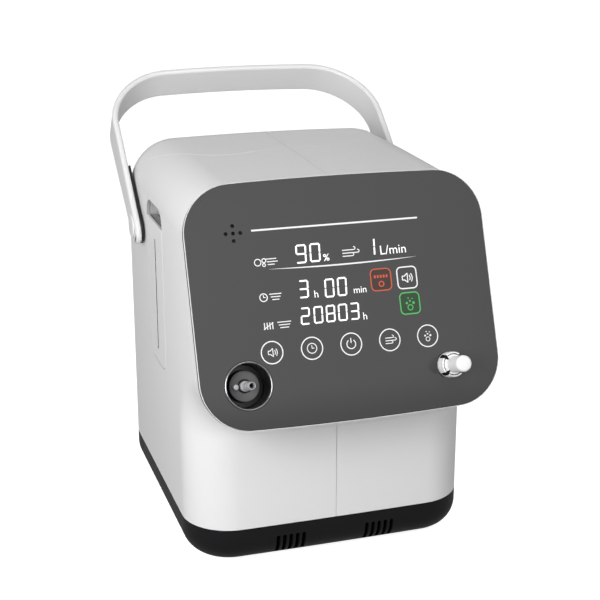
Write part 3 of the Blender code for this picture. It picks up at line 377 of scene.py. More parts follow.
def on_back(mesh, x, z, depth=0.0):
    """Sets a mesh on the rear wall: its X to the machine's left, its Y up, its Z outward."""
    return set_at(mesh, (x, housing_back_y - 0.0004 + depth, z), (-1, 0, 0), (0, 0, 1))


def top_line(y):
    """Height of the top's profile: two straight lines that meet over the middle."""
    return housing_top_z - 0.00168 + y * (0.0247 if y < 0 else 0.0235)


def housing_spot(x, y, z):
    """Eases the plain rounded corner to the panel's own corner, and adds the crown of each wall."""
    share = x / housing_half_w
    run = max(0.0, x - (housing_half_w - housing_corner_r)) / housing_corner_r
    turn = math.asin(min(1.0, run))
    middle = (housing_top_z + housing_under_z) / 2
    if z > middle and y < housing_back_y - top_back_r:
        mix = 0.0
        zone = "top"
    elif z > housing_top_z - top_back_r and y > 0:
        sideways = Vector((y - (housing_back_y - top_back_r), z - (housing_top_z - top_back_r)))
        mix = math.atan2(sideways.x, sideways.y) / (math.pi / 2)
        zone = "rear"
    elif z < middle and y < housing_front_y - under_r:
        mix = 0.0
        zone = "under"
    elif z > housing_under_z - under_r and y < 0 and z < middle:
        sideways = Vector((y - (housing_front_y - under_r), z - (housing_under_z - under_r)))
        mix = math.atan2(sideways.x, sideways.y) / (math.pi / 2)
        zone = "blend"
    else:
        mix = 1.0
        zone = "wall"
    wide = front_corner_r + (housing_corner_r - front_corner_r) * mix
    deep = front_corner_drop + (housing_corner_r - front_corner_drop) * mix
    crown = top_crown + (wall_crown - top_crown) * mix
    new_x = x if run == 0 else housing_half_w - wide + wide * math.sin(turn)
    if run == 0 and x > housing_half_w - housing_corner_r - 1e-5:
        new_x = housing_half_w - wide
    drop = deep * (1 - math.cos(turn)) + crown * share**2
    old_drop = housing_corner_r * (1 - math.cos(turn))
    if zone == "top":
        return (new_x, y, z + old_drop - drop)
    if zone == "under":
        return (new_x, y, z - old_drop + drop)
    if zone == "rear":
        away = sideways.normalized() * (sideways.length + old_drop - drop)
        return (new_x, housing_back_y - top_back_r + away.x, housing_top_z - top_back_r + away.y)
    if zone == "blend":
        away = sideways.normalized() * (sideways.length - old_drop + drop)
        return (new_x, housing_front_y - under_r + away.x, housing_under_z - under_r + away.y)
    if y > 0:
        return (new_x, y + old_drop - drop, z)
    return (new_x, y - old_drop + drop, z)


def ridge_bead(name, half, side, look):
    """Low moulded bead that crosses the top of a half, from its shoulder to the centre seam."""
    graph = bpy.context.evaluated_depsgraph_get()
    skin = BVHTree.FromObject(half, graph)
    knots = right_ridge if side > 0 else left_ridge
    slopes = []
    for k in range(len(knots)):
        a, b = knots[max(k - 1, 0)], knots[min(k + 1, len(knots) - 1)]
        slopes.append((b[1] - a[1]) / (b[0] - a[0]))
    spots = []
    for k in range(len(knots) - 1):
        (x0, y0), (x1, y1) = knots[k], knots[k + 1]
        wide = x1 - x0
        for step in range(12):
            t = step / 12
            y = (2 * t**3 - 3 * t**2 + 1) * y0 + (t**3 - 2 * t**2 + t) * wide * slopes[k]
            y += (3 * t**2 - 2 * t**3) * y1 + (t**3 - t**2) * wide * slopes[k + 1]
            above = Vector(((x0 + wide * t) / 1000, y / 1000, 0.5))
            spots.append(skin.ray_cast(above, Vector((0, 0, -1)))[:2])
    mesh = bmesh.new()
    section = ((-0.0011, -0.0004), (-0.0011, -0.00004), (0, bead_h), (0.0011, -0.00004), (0.0011, -0.0004))
    count = len(section)
    rows = []
    for k, (hit, normal) in enumerate(spots):
        way = spots[min(k + 1, len(spots) - 1)][0] - spots[max(k - 1, 0)][0]
        across = way.cross(normal).normalized()
        rows.append([mesh.verts.new(hit + across * a + normal * h) for a, h in section])
    for low, high in zip(rows, rows[1:]):
        for k in range(count):
            mesh.faces.new((low[k], low[(k + 1) % count], high[(k + 1) % count], high[k]))
    mesh.faces.new(rows[0])
    mesh.faces.new(rows[-1])
    return soften(blank(name, mesh, look), 0.0, corner=60)


def housing_half(name, side, look):
    mesh = bmesh.new()
    side_view = [
        (-0.22, housing_under_z),
        (housing_front_y, housing_under_z),
        (housing_front_y, 0.0),
        (housing_back_y, 0.0),
        (housing_back_y, housing_top_z),
        (0.0, top_line(0.0)),
        (-0.22, top_line(-0.22)),
    ]
    corners = [mesh.verts.new((seam_x, y, z)) for y, z in side_view]
    mesh.faces.new(corners)
    for corner, radius in ((corners[4], top_back_r), (corners[1], under_r)):
        round_corner(mesh, corner, radius, 20)
    thicken(mesh, mesh.faces[:], (housing_half_w - seam_x, 0, 0))
    long_edges = []
    for edge in mesh.edges:
        a, b = (v.co for v in edge.verts)
        middle = (a + b) / 2
        if min(a.x, b.x) > housing_half_w - 1e-5 and middle.y > -0.219 and middle.z > 0.0001:
            long_edges.append(edge)
    round_edges(mesh, long_edges, housing_corner_r, 22)
    for x in (0.016, 0.032, 0.048, 0.064):
        slice_all(mesh, (x, 0, 0), (1, 0, 0))
    for v in mesh.verts:
        v.co = housing_spot(*v.co)
    slice_all(mesh, panel_centre - panel_normal * housing_setback, panel_normal, clear=True)
    slice_all(mesh, (0, 0, seam_z), (0, 0, -1), clear=True)
    inside = [f for f in mesh.faces if f.calc_center_median().x < seam_x + 1e-5]
    bmesh.ops.delete(mesh, geom=inside, context="FACES")
    bmesh.ops.remove_doubles(mesh, verts=mesh.verts, dist=1e-6)
    if side < 0:
        bmesh.ops.scale(mesh, vec=(-1, 1, 1), verts=mesh.verts)
    bmesh.ops.recalc_face_normals(mesh, faces=mesh.faces)
    probe = max(mesh.faces, key=lambda f: f.calc_area())
    if probe.normal.x * side < 0:
        bmesh.ops.reverse_faces(mesh, faces=mesh.faces)
    piece = blank(name, mesh, look, turn_out=False)
    hollow(piece, housing_wall)
    half_h = (scoop_top_z - door_foot_z) / 2
    recess = plate(door_w / 2, half_h, [door_corner_r] * 4, -0.01, 0.01)
    # The recess cutter passes the painted-shade grey to the walls of the recess.
    cutters = [blank("recess", on_side(recess, side, door_y, door_foot_z + half_h), pocket_shade_grey)]
    hole = plate(pivot_hole_r, pivot_hole_r, [pivot_hole_r] * 4, -0.01, 0.01, 12)
    cutters.append(blank("hole", on_side(hole, side, pivot_y, pivot_z), look))
    vent = plate(grille_half + snap_gap, grille_half + snap_gap, [0.003] * 4, -0.02, 0.02, 6)
    cutters.append(blank("vent", on_back(vent, 0, grille_z), look))
    if side > 0:
        socket = plate(inlet_half_w + snap_gap, inlet_half_h + snap_gap, [0.0012] * 4, -0.02, 0.02, 4)
        cutters.append(blank("socket", on_back(socket, inlet_x, inlet_z), look))
    carve(piece, cutters)
    return soften(piece, 0.00035, 2, 40)


white_abs = moulded("white_abs", (0.80, 0.80, 0.80), 0.36, spread=0.012, grain=0.00002)
# Painted shade: mid grey for the inside of the door recesses and the filter pockets, standing in for the
# shade there.
pocket_shade_grey = moulded("pocket_shade_grey", (0.42, 0.42, 0.425), 0.42, spread=0.02, grain=0.00003)
casing_left = housing_half("casing_left_shell", -1, white_abs)
casing_right = housing_half("casing_right_shell", 1, white_abs)
for casing, side, node in ((casing_left, -1, "casing_left"), (casing_right, 1, "casing_right")):
    bead = ridge_bead(node + "_bead", casing, side, white_abs)
    for part in (casing, bead):
        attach(part, "housing")
    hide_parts(node)

# ---------------------------------------------------------------- base tray
# Black ABS pan that closes the housing from below. A lip inside its rim locates the two halves,
# and two groups of slots in its front let the cooling air in.
tray_floor_z = 0.004
tray_rim_z = 0.036
tray_curve_r = 0.022
tray_middle_y = (housing_front_y + housing_back_y) / 2
tray_half_d = (housing_back_y - housing_front_y) / 2
slot_w = 0.003
slot_pitch = 0.0054
slot_group_x = 0.0380


def tray_blank(look):
    mesh = plate(housing_half_w, tray_half_d, [housing_corner_r] * 4, tray_floor_z, tray_rim_z, 20)
    bmesh.ops.recalc_face_normals(mesh, faces=mesh.faces)
    bottom = [
        e for e in mesh.edges
        if all(abs(v.co.z - tray_floor_z) < 1e-6 for v in e.verts)
    ]
    round_edges(mesh, bottom, tray_curve_r, 14)
    top = [f for f in mesh.faces if f.normal.z > 0.9 and f.calc_center_median().z > 0.0359]
    bmesh.ops.inset_region(mesh, faces=top, thickness=0.0031, use_even_offset=True)
    for rise, rim in ((0.004, 0.0020), (-0.033, 0.0)):
        top = max(mesh.faces, key=lambda f: (f.normal.z > 0.99) * f.calc_area())
        lid = thicken(mesh, [top], (0, 0, rise))
        bmesh.ops.delete(mesh, geom=[f for f in [top] if f.is_valid], context="FACES_ONLY")
        if rim:
            bmesh.ops.inset_region(mesh, faces=lid, thickness=rim, use_even_offset=True)
    floor_edges = [
        e for e in mesh.edges
        if all(abs(v.co.z - 0.007) < 1e-5 for v in e.verts)
    ]
    round_edges(mesh, floor_edges, 0.019, 8)
    for k in range(-4, 5):
        slice_all(mesh, (k * 0.016, 0, 0), (1, 0, 0))
    for v in mesh.verts:
        v.co.y += tray_middle_y - wall_crown * (v.co.x / housing_half_w) ** 2 * v.co.y / tray_half_d
    return blank("tray", mesh, look)


black_abs = moulded("black_abs", (0.0075, 0.0075, 0.0085), 0.42, spread=0.08, grain=0.00003, gloss=0.22)
tray = tray_blank(black_abs)
openings = []
for group in (-1, 1):
    for k in range(-2, 3):
        slot = plate(slot_w / 2, 0.0088, [0.0012] * 4, -0.005, 0.026, 5)
        spot = (group * slot_group_x + k * slot_pitch, housing_front_y, 0.0176)
        openings.append(blank("slot", set_at(slot, spot, (-1, 0, 0), (0, 0, 1)), black_abs))
foot_places = [
    (sx * housing_half_w * 0.62, housing_front_y + 2 * tray_half_d * share)
    for share in (0.2, 0.8)
    for sx in (-1, 1)
]
for x, y in foot_places:
    peg = turning([(0, 0), (0.0033, 0), (0.0033, 0.01), (0, 0.01)], 16)
    openings.append(blank("peg_hole", set_at(peg, (x, y, 0.0005), (1, 0, 0), (0, 1, 0)), black_abs))
latch = plate(0.0045, 0.0016, [0.0008] * 4, -0.004, 0.006, 4)
openings.append(
    blank("latch", set_at(latch, (0.0, housing_front_y + 0.0155, 0.0050), (-1, 0, 0), (0, 0, 1)), black_abs)
)
carve(tray, openings)
tray = soften(tray, 0.00035, 2, 40)
tray.name = "base_tray_pan"
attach(tray, "housing")
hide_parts("base_tray")

# ---------------------------------------------------------------- feet
# Four moulded rubber feet whose pegs push into the floor of the tray.
foot_rubber = moulded("foot_rubber", (0.028, 0.028, 0.028), 0.75, spread=0.15, grain=0.00008, gloss=0.3)
for tail, (x, y) in zip(("front_left", "front_right", "back_left", "back_right"), foot_places):
    outline = [
        (0, 0), (0.0068, 0), (0.0078, 0.0002), (0.0087, 0.0007), (0.0090, 0.0015),
        (0.0090, 0.0033), (0.0087, 0.0037), (0.0030, 0.0037), (0.0030, 0.0068), (0.0026, 0.0071),
        (0, 0.0071),
    ]
    mesh = set_at(turning(outline, 36), (x, y, 0), (1, 0, 0), (0, 1, 0))
    foot = blank("foot_" + tail + "_pad", mesh, foot_rubber)
    foot = soften(foot, 0.0, corner=45)
    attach(foot, "housing")
    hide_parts("foot_" + tail)

# ---------------------------------------------------------------- panel frame
# Thin satin silver rim on a moulded seat, clipped into the front of the housing by a tongue.
# The seat and tongue are flat black, painted shade so that the narrow gap between the frame and the
# housing reads dark; the smoked panel is bonded into the seat.
panel_half_w = 0.120
panel_half_h = 0.09096
panel_corner_r = 0.0368
panel_bow = 0.0028
rim_w = 0.0006
frame_t = 0.005
glass_t = 0.002


def panel_sheet(mesh, inset, height, rounds=22):
    """Adds one face of the panel's outline, drawn in by `inset`, at a height above the panel."""
    before = set(mesh.verts)
    bmesh.ops.create_grid(mesh, x_segments=1, y_segments=1, size=1)
    fresh = [v for v in mesh.verts if v not in before]
    bmesh.ops.scale(mesh, vec=(panel_half_w - inset, panel_half_h - inset, 1), verts=fresh)
    for corner in fresh:
        round_corner(mesh, corner, panel_corner_r - inset, rounds)
    face = next(f for f in mesh.faces if not any(v in before for v in f.verts))
    for k in range(-4, 5):
        bmesh.ops.bisect_plane(
            mesh, geom=list(face.verts) + list(face.edges) + [face], dist=1e-6,
            plane_co=(k * 0.018, 0, 0), plane_no=(1, 0, 0),
        )
        cuts = [f for f in mesh.faces if not any(v in before for v in f.verts)]
        if len(cuts) > 1:
            face = bmesh.ops.dissolve_faces(mesh, faces=cuts, use_verts=False)["region"][0]
    half_h = panel_half_h - inset
    for v in face.verts:
        v.co.y += panel_bow * (1 - (v.co.x / panel_half_w) ** 2) * v.co.y / half_h
        v.co.z = height
    return face


def panel_ring(outer, inner, low, high):
    """Closed band between two outlines of the panel."""
    mesh = bmesh.new()
    lines = []
    for inset in (outer, inner):
        face = panel_sheet(mesh, inset, low)
        lines += list(face.edges)
        bmesh.ops.delete(mesh, geom=[face], context="FACES_ONLY")
    bmesh.ops.bridge_loops(mesh, edges=lines)
    thicken(mesh, mesh.faces[:], (0, 0, high - low))
    return mesh


rim_lacquer = moulded("rim_lacquer", (0.62, 0.62, 0.63), 0.22, spread=0.02, grain=0.00001, gloss=0.6)
frame_edge = blank("panel_frame_rim", on_panel(panel_ring(0, rim_w, -0.0019, 0)), rim_lacquer)
# Painted shade: flat black for the seat, ledge and tongue in the gap behind the rim. Cutters below carry it
# onto hole, notch and slot walls that stand in shade.
seat_shade_black = moulded("seat_shade_black", (0.010, 0.010, 0.011), 0.5, spread=0.08, grain=0.00003, gloss=0.3)
frame_seat = blank("panel_frame_seat", on_panel(panel_ring(0.0002, 0.008, -frame_t, -0.0023)), seat_shade_black)
ledge = blank("ledge", on_panel(panel_ring(0.0002, 0.0005, -0.0024, -0.0018)), seat_shade_black)
tongue_mesh = panel_ring(0.00425, 0.00625, -frame_t + 0.001, 0)
on_panel(tongue_mesh, 0, 0, 0)
for v in tongue_mesh.verts:
    out = (v.co - panel_centre).dot(panel_normal)
    if out > -0.0001:
        v.co += Vector((0, 0.008, 0)) - panel_normal * (frame_t - 0.001)
tongue = blank("tongue", tongue_mesh, seat_shade_black)
carve(frame_seat, [ledge, tongue], "UNION")
frame_seat = soften(frame_seat, 0.0, corner=40)
frame_edge = soften(frame_edge, 0.00018, 3, 40)
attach(frame_seat, "housing")
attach(frame_edge, "housing")
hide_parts("panel_frame")

# ---------------------------------------------------------------- smoked panel
# Cast acrylic sheet, tinted dark grey and hard coated, with polished edges. It has a round opening
# for each gas fitting and five drilled speaker holes.
speaker_u = -0.0824
speaker_v = 0.0547
outlet_u = -0.0829
outlet_v = -0.0587
port_u = 0.078
port_v = -0.060
trim_outer_r = 0.0183

smoked_acrylic = moulded(
    "smoked_acrylic", (0.036, 0.036, 0.037), 0.13, spread=0.02, grain=0.000002, fineness=60, uneven=0.15
)
tint_nodes = smoked_acrylic.node_tree.nodes
tint_links = smoked_acrylic.node_tree.links
tint_shader = tint_nodes["Principled BSDF"]
# Painted shade: from here the base colour darkens towards the panel's lower edge, standing in for the shade
# along that edge.
panel_shade_coords = tint_nodes.new("ShaderNodeTexCoord")
panel_shade_axes = tint_nodes.new("ShaderNodeSeparateXYZ")
tint_links.new(panel_shade_coords.outputs["Object"], panel_shade_axes.inputs[0])
panel_shade_ramp = tint_nodes.new("ShaderNodeMapRange")
panel_shade_ramp.interpolation_type = "SMOOTHSTEP"
panel_shade_ramp.inputs["From Min"].default_value = 0.143
panel_shade_ramp.inputs["From Max"].default_value = 0.171
panel_shade_ramp.inputs["To Min"].default_value = 0.74
panel_shade_ramp.inputs["To Max"].default_value = 0.0
tint_links.new(panel_shade_axes.outputs["Z"], panel_shade_ramp.inputs["Value"])
panel_shade_mix = tint_nodes.new("ShaderNodeMix")
panel_shade_mix.data_type = "RGBA"
panel_shade_mix.inputs[7].default_value = (0.012, 0.012, 0.013, 1)
tint_links.new(panel_shade_ramp.outputs["Result"], panel_shade_mix.inputs[0])
tint_links.new(tint_shader.inputs["Base Color"].links[0].from_socket, panel_shade_mix.inputs[6])
tint_links.new(panel_shade_mix.outputs[2], tint_shader.inputs["Base Color"])
panel_mesh = bmesh.new()
panel_sheet(panel_mesh, rim_w + 0.0002, -glass_t)
thicken(panel_mesh, panel_mesh.faces[:], (0, 0, glass_t))
panel = blank("front_panel_sheet", on_panel(panel_mesh), smoked_acrylic)
drills = [(outlet_u, outlet_v, trim_outer_r + 0.0002, 72), (port_u, port_v, 0.0102, 56)]
for du, dv in ((0, 0), (1, 0), (-1, 0), (0, 1), (0, -1)):
    drills.append((speaker_u + du * 0.0056, speaker_v + dv * 0.0056, 0.0014, 24))
# The drill cutters give the walls of the holes the seat's flat black: painted shade in the holes.
bores = []
for u, v, radius, steps in drills:
    bore = turning([(0, -0.01), (radius, -0.01), (radius, 0.01), (0, 0.01)], steps)
    bores.append(blank("bore", on_panel(bore, u, v), seat_shade_black))
carve(panel, bores)
panel = soften(panel, 0.00025, 2, 40)
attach(panel, "housing")
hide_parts("front_panel")

# ---------------------------------------------------------------- printing and lit figures
# Screen-printed white lines, key rings and pictograms on the face of the panel, and the figures,
# units and status signs of the display lit from behind. Each is a film 0.03 mm thick.
film = 0.00003
print_mesh = bmesh.new()
figure_mesh = bmesh.new()
red_mesh = bmesh.new()
sound_mesh = bmesh.new()
green_mesh = bmesh.new()


def add_film(target, part, u, v, turn=0.0):
    """Lays a flat film at u, v in millimetres on the panel, turned by an angle in degrees."""
    spin = Matrix.Rotation(math.radians(turn), 3, "Z")
    bmesh.ops.rotate(part, cent=(0, 0, 0), matrix=spin, verts=part.verts)
    bmesh.ops.translate(part, vec=(u / 1000, v / 1000, 0), verts=part.verts)
    data = bpy.data.meshes.new("film")
    part.to_mesh(data)
    part.free()
    target.from_mesh(data)
    bpy.data.meshes.remove(data)


def bar(target, u, v, length, width, turn=0.0, tip=0.0):
    """Printed stroke in millimetres; `tip` rounds its ends."""
    radius = min(tip, width / 2 * 0.98) / 1000
    add_film(target, plate(length / 2000, width / 2000, [radius] * 4, 0, film, 3), u, v, turn)


def dot(target, u, v, radius, sides=20):
    part = bmesh.new()
    bmesh.ops.create_circle(part, cap_ends=True, segments=sides, radius=radius / 1000)
    thicken(part, part.faces[:], (0, 0, film))
    add_film(target, part, u, v)


def ring(target, u, v, radius, line, start=0.0, sweep=360.0, sides=48):
    """Printed ring or arc whose middle line has the given radius, in millimetres."""
    part = bmesh.new()
    a, b = (radius - line / 2) / 1000, (radius + line / 2) / 1000
    row = [part.verts.new((r, 0, h)) for r, h in ((a, 0), (b, 0), (b, film), (a, film))]
    loop = [part.edges.new(pair) for pair in zip(row, row[1:] + row[:1])]
    full = sweep >= 360
    if not full:
        part.faces.new(row)
    made = bmesh.ops.spin(
        part, geom=row + loop if full else part.verts[:] + part.edges[:] + part.faces[:],
        axis=(0, 0, 1), cent=(0, 0, 0), angle=math.radians(sweep),
        steps=max(3, int(sides * sweep / 360)), use_merge=full,
    )
    add_film(target, part, u, v, start)


def corner_frame(target, u, v, half_w, half_h, radius, line):
    """Printed rounded rectangle, as an outline."""
    lines = (
        (0, half_h, 2 * (half_w - radius), 0), (0, -half_h, 2 * (half_w - radius), 0),
        (half_w, 0, 2 * (half_h - radius), 90), (-half_w, 0, 2 * (half_h - radius), 90),
    )
    for du, dv, length, turn in lines:
        bar(target, u + du, v + dv, length, line, turn)
    for su, sv, start in ((1, 1, 0), (-1, 1, 90), (-1, -1, 180), (1, -1, 270)):
        ring(target, u + su * (half_w - radius), v + sv * (half_h - radius), radius, line, start, 90)


segments_of = {
    "0": "abcdef", "1": "bc", "2": "abdeg", "3": "abcdg", "8": "abcdefg", "9": "abcdfg",
}


def figure(target, number, u, v, wide, tall, line):
    """Seven-segment figure centred at u, v, leaning a little to the right."""
    gap = line * 0.22
    places = {
        "a": (0, tall / 2, 0), "g": (0, 0, 0), "d": (0, -tall / 2, 0),
        "b": (wide / 2, tall / 4, 90), "c": (wide / 2, -tall / 4, 90),
        "f": (-wide / 2, tall / 4, 90), "e": (-wide / 2, -tall / 4, 90),
    }
    for key in segments_of[number]:
        du, dv, turn = places[key]
        length = (wide if turn == 0 else tall / 2) - gap * 2 + (line * 0.15)
        bar(target, u + du + dv * 0.05, v + dv, length, line, turn - (2.9 if turn else 0), line * 0.4)


# Lines.
bar(print_mesh, -1.7, 55.8, 133.4, 1.3, 0, 0.4)
divider_half = 0.05915
divider = plate(divider_half, 0.00055, [0] * 4, 0, film, 1)
for k in range(-7, 8):
    slice_all(divider, (k * 0.0078, 0, 0), (1, 0, 0))
for v in divider.verts:
    along = v.co.x / divider_half
    v.co.y = v.co.y * (1.05 - along**2) - 0.0012 * (1 - along**2)
add_film(print_mesh, divider, 1.35, 26.0)

# Figures.
for number, u, v, wide, tall, line in (
    ("9", -31.7, 35.3, 7.2, 13.0, 1.35), ("0", -20.6, 35.5, 7.2, 13.0, 1.35),
    ("1", 23.6, 36.0, 7.2, 12.6, 1.35), ("3", -32.7, 8.8, 6.6, 12.4, 1.3),
    ("0", -12.3, 7.8, 6.4, 13.0, 1.3), ("0", -2.2, 8.0, 6.4, 13.0, 1.3),
):
    figure(figure_mesh, number, u, v, wide, tall, line)
for number, u in zip("20803", (-33.7, -23.4, -13.6, -3.9, 5.6)):
    figure(figure_mesh, number, u, -11.5, 6.2, 11.8, 1.25)


def unit(target, words, u, v, size, thick):
    """Unit of measure set in plain letters, in millimetres; u is its left edge and v its foot."""
    curve = bpy.data.curves.new("unit", "FONT")
    curve.body = words
    curve.size = size / 1000 * 1.37
    curve.offset = thick / 1000
    curve.resolution_u = 3
    sign = bpy.data.objects.new("unit", curve)
    scene.collection.objects.link(sign)
    graph = bpy.context.evaluated_depsgraph_get()
    data = bpy.data.meshes.new_from_object(sign.evaluated_get(graph))
    part = bmesh.new()
    part.from_mesh(data)
    bpy.data.objects.remove(sign)
    bmesh.ops.remove_doubles(part, verts=part.verts, dist=1e-6)
    thicken(part, part.faces[:], (0, 0, film))
    add_film(target, part, u, v)


unit(figure_mesh, "%", -14.6, 28.6, 5.4, 0.12)
unit(figure_mesh, "L/min", 31.0, 29.6, 7.2, 0.0)
unit(figure_mesh, "h", -25.2, 1.6, 5.8, 0.0)
unit(figure_mesh, "min", 6.4, 2.0, 5.4, 0.0)
unit(figure_mesh, "h", 11.6, -18.6, 5.8, 0.0)

# Pictograms beside the readings: gas bubbles, breeze, clock, tally.
for du, dv, r in ((0, 0, 2.5), (4.9, 1.1, 1.5), (4.7, -2.2, 1.1)):
    ring(print_mesh, -66.0 + du, 31.6 + dv, r, 0.7, sides=24)
for k in range(3):
    bar(print_mesh, -55.6 + (1.0 if k == 1 else 0), 33.7 - k * 2.1, 8.6 - (3 if k == 2 else 0), 0.7, 0, 0.3)
for k, length in enumerate((9.5, 12.5, 8.0)):
    bar(print_mesh, 1.0 + length / 2, 35.3 - k * 2.3, length, 0.75, 0, 0.3)
    ring(print_mesh, 1.0 + length, 36.4 - k * 2.3, 1.1, 0.7, -90, 200, 24)
ring(print_mesh, -64.4, 5.2, 2.9, 0.75, sides=28)
bar(print_mesh, -64.4, 6.1, 2.0, 0.6, 90)
bar(print_mesh, -63.7, 5.2, 1.7, 0.6, 0)
for k in range(3):
    bar(print_mesh, -55.0, 7.3 - k * 2.1, 9.6 - k * 2.0, 0.7, 0, 0.3)
for k in range(4):
    bar(print_mesh, -66.0 + k * 2.1, -16.2, 5.4, 0.75, 90, 0.3)
bar(print_mesh, -62.9, -16.2, 9.2, 0.7, 30, 0.3)
for k in range(3):
    bar(print_mesh, -50.6, -14.1 - k * 2.1, 11.0 - k * 2.0, 0.7, 0, 0.3)

# Touch keys: sound, clock, power, breeze, ions.
key_v = -36.04
for k in range(-2, 3):
    ring(print_mesh, k * 31.24, key_v, 8.3, 0.85, sides=72)


def sound_sign(target, u, v, s, line):
    strokes = (
        (-2.6, 0, 2.2, 90), (-1.9, 1.1, 1.5, 0), (-1.9, -1.1, 1.5, 0), (-0.3, 1.9, 2.4, 40),
        (-0.3, -1.9, 2.4, -40), (0.6, 0, 5.4, 90),
    )
    for du, dv, length, turn in strokes:
        bar(target, u + du * s, v + dv * s, length * s, line, turn)
    for radius in (2.4, 3.7):
        ring(target, u - 0.2 * s, v, radius * s, line, -38, 76, 40)


def ion_sign(target, u, v, s, line):
    ring(target, u, v - 1.9 * s, 1.7 * s, line, sides=20)
    dots = ((-2.2, 1.0, 0.8), (0.1, 2.3, 0.65), (2.4, 0.9, 0.9), (-0.9, 4.2, 0.5), (1.8, 3.7, 0.45))
    for du, dv, r in dots:
        dot(target, u + du * s, v + dv * s, r * s, 12)


sound_sign(print_mesh, -62.48, key_v, 1.15, 0.6)
ring(print_mesh, -31.24, key_v, 3.7, 0.65, sides=32)
bar(print_mesh, -31.24, key_v + 1.1, 2.5, 0.55, 90)
bar(print_mesh, -30.4, key_v, 2.0, 0.55, 0)
ring(print_mesh, 0, key_v, 3.5, 0.75, 125, 290, 36)
bar(print_mesh, 0, key_v + 2.7, 4.0, 0.75, 90, 0.3)
for k, length in enumerate((6.0, 8.0, 5.0)):
    bar(print_mesh, 27.6 + length / 2, key_v + 1.6 - k * 2.1, length, 0.65, 0, 0.3)
    ring(print_mesh, 27.6 + length, key_v + 2.5 - k * 2.1, 0.95, 0.6, -90, 200, 20)
ion_sign(print_mesh, 62.48, key_v - 0.6, 0.95, 0.55)

# Status signs in rounded frames.
corner_frame(red_mesh, 29.7, 10.5, 8.2, 8.3, 3.6, 0.9)
for k in range(5):
    bar(red_mesh, 24.9 + k * 2.4, 13.0, 1.5, 2.3, 0, 0.3)
ring(red_mesh, 29.7, 7.2, 1.9, 0.9, sides=24)
corner_frame(sound_mesh, 51.0, 10.2, 7.9, 8.3, 3.4, 0.95)
sound_sign(sound_mesh, 50.6, 10.0, 1.35, 0.75)
corner_frame(green_mesh, 51.1, -9.6, 7.9, 8.2, 3.4, 0.95)
tint_meshes = []
for u, v, half_w, half_h in ((29.7, 10.5, 7.7, 7.8), (51.1, -9.6, 7.4, 7.7)):
    tint = plate(half_w / 1000, half_h / 1000, [0.0031] * 4, 0, 0.00001, 8)
    bmesh.ops.translate(tint, vec=(u / 1000, v / 1000, 0), verts=tint.verts)
    tint_meshes.append(tint)
ion_sign(green_mesh, 51.1, -10.6, 1.2, 0.75)


def glow_film(name, colour, strength, body=0.5):
    """Glowing film: coloured film with a slightly uneven glow; on the display's signs it comes from the
    lamps behind, on the printed lines it is painted light.
    """
    look = moulded(name, [c * body for c in colour], 0.4, spread=0.05, grain=0.000002, gloss=0.3)
    shader = look.node_tree.nodes["Principled BSDF"]
    shader.inputs["Emission Color"].default_value = (*colour, 1)
    shader.inputs["Emission Strength"].default_value = strength
    return look


signs = (
    # The printed lines, key rings and pictograms have no lamp behind them; their glow is painted light.
    ("panel_print", print_mesh, glow_film("print_white", (0.85, 0.85, 0.85), 0.55)),
    ("panel_tint_red", tint_meshes[0], glow_film("tint_red", (0.075, 0.046, 0.042), 0.30)),
    ("panel_tint_green", tint_meshes[1], glow_film("tint_green", (0.042, 0.078, 0.046), 0.30)),
    ("panel_figures", figure_mesh, glow_film("figure_white", (1.0, 1.0, 1.0), 0.75)),
    ("panel_sign_red", red_mesh, glow_film("sign_red", (0.58, 0.105, 0.045), 0.55)),
    ("panel_sign_sound", sound_mesh, glow_film("sign_white", (0.85, 0.85, 0.85), 0.60)),
    ("panel_sign_green", green_mesh, glow_film("sign_green", (0.09, 0.50, 0.12), 0.50)),
)
for name, mesh, look in signs:
    lift = 0.000002 if "tint" in name else 0.00001
    sign = blank(name, on_panel(mesh, 0, 0, lift), look)
    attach(sign, "housing")

# ---------------------------------------------------------------- oxygen outlet
# Black moulded cup let into the panel, with a bright nickel ring round its mouth. In it sit a boss
# with a grey cap, a key pin, and the grey barbed nozzle that the oxygen tube is pushed on to.
cup_r = 0.0170
cup_depth = 0.021
boss_r = 0.0115
boss_depth = 0.014
nozzle_tip = 0.010


def outlet_ring(name, outline, steps, look, corner):
    """Turned piece of the outlet, with its sharp turns kept in the shading."""
    mesh = on_panel(turning(outline, steps, closed=True), outlet_u, outlet_v)
    return soften(blank(name, mesh, look), 0.0, corner=corner)


cup_black = moulded("cup_black", (0.012, 0.012, 0.013), 0.30, spread=0.1, grain=0.00002, gloss=0.45)
well_r = 0.0050
cup_outline = [
    (well_r, -boss_depth), (boss_r - 0.0006, -boss_depth),
    (boss_r - 0.0002, -boss_depth - 0.0002), (boss_r, -boss_depth - 0.0006), (boss_r, -cup_depth + 0.0008),
    (boss_r + 0.0008, -cup_depth), (cup_r - 0.0010, -cup_depth), (cup_r - 0.0002, -cup_depth + 0.0008),
    (cup_r - 0.0002, -glass_t - 0.0003), (trim_outer_r + 0.0008, -glass_t - 0.0003),
    (trim_outer_r + 0.0008, -cup_depth - 0.0025), (well_r, -cup_depth - 0.0025),
]
cup = outlet_ring("outlet_cup_body", cup_outline, 72, cup_black, 38)
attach(cup, "housing")
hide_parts("outlet_cup")

boss_grey = moulded("boss_grey", (0.095, 0.095, 0.098), 0.38, spread=0.06, grain=0.00003)
cap_outline = [
    (well_r + 0.0003, -boss_depth - 0.0001), (boss_r + 0.0002, -boss_depth - 0.0001),
    (boss_r + 0.0002, -boss_depth + 0.0004), (boss_r - 0.0004, -boss_depth + 0.0009),
    (well_r + 0.0006, -boss_depth + 0.0009), (well_r + 0.0003, -boss_depth + 0.0006),
]
cap = outlet_ring("outlet_boss_cap", cap_outline, 64, boss_grey, 50)
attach(cap, "housing")

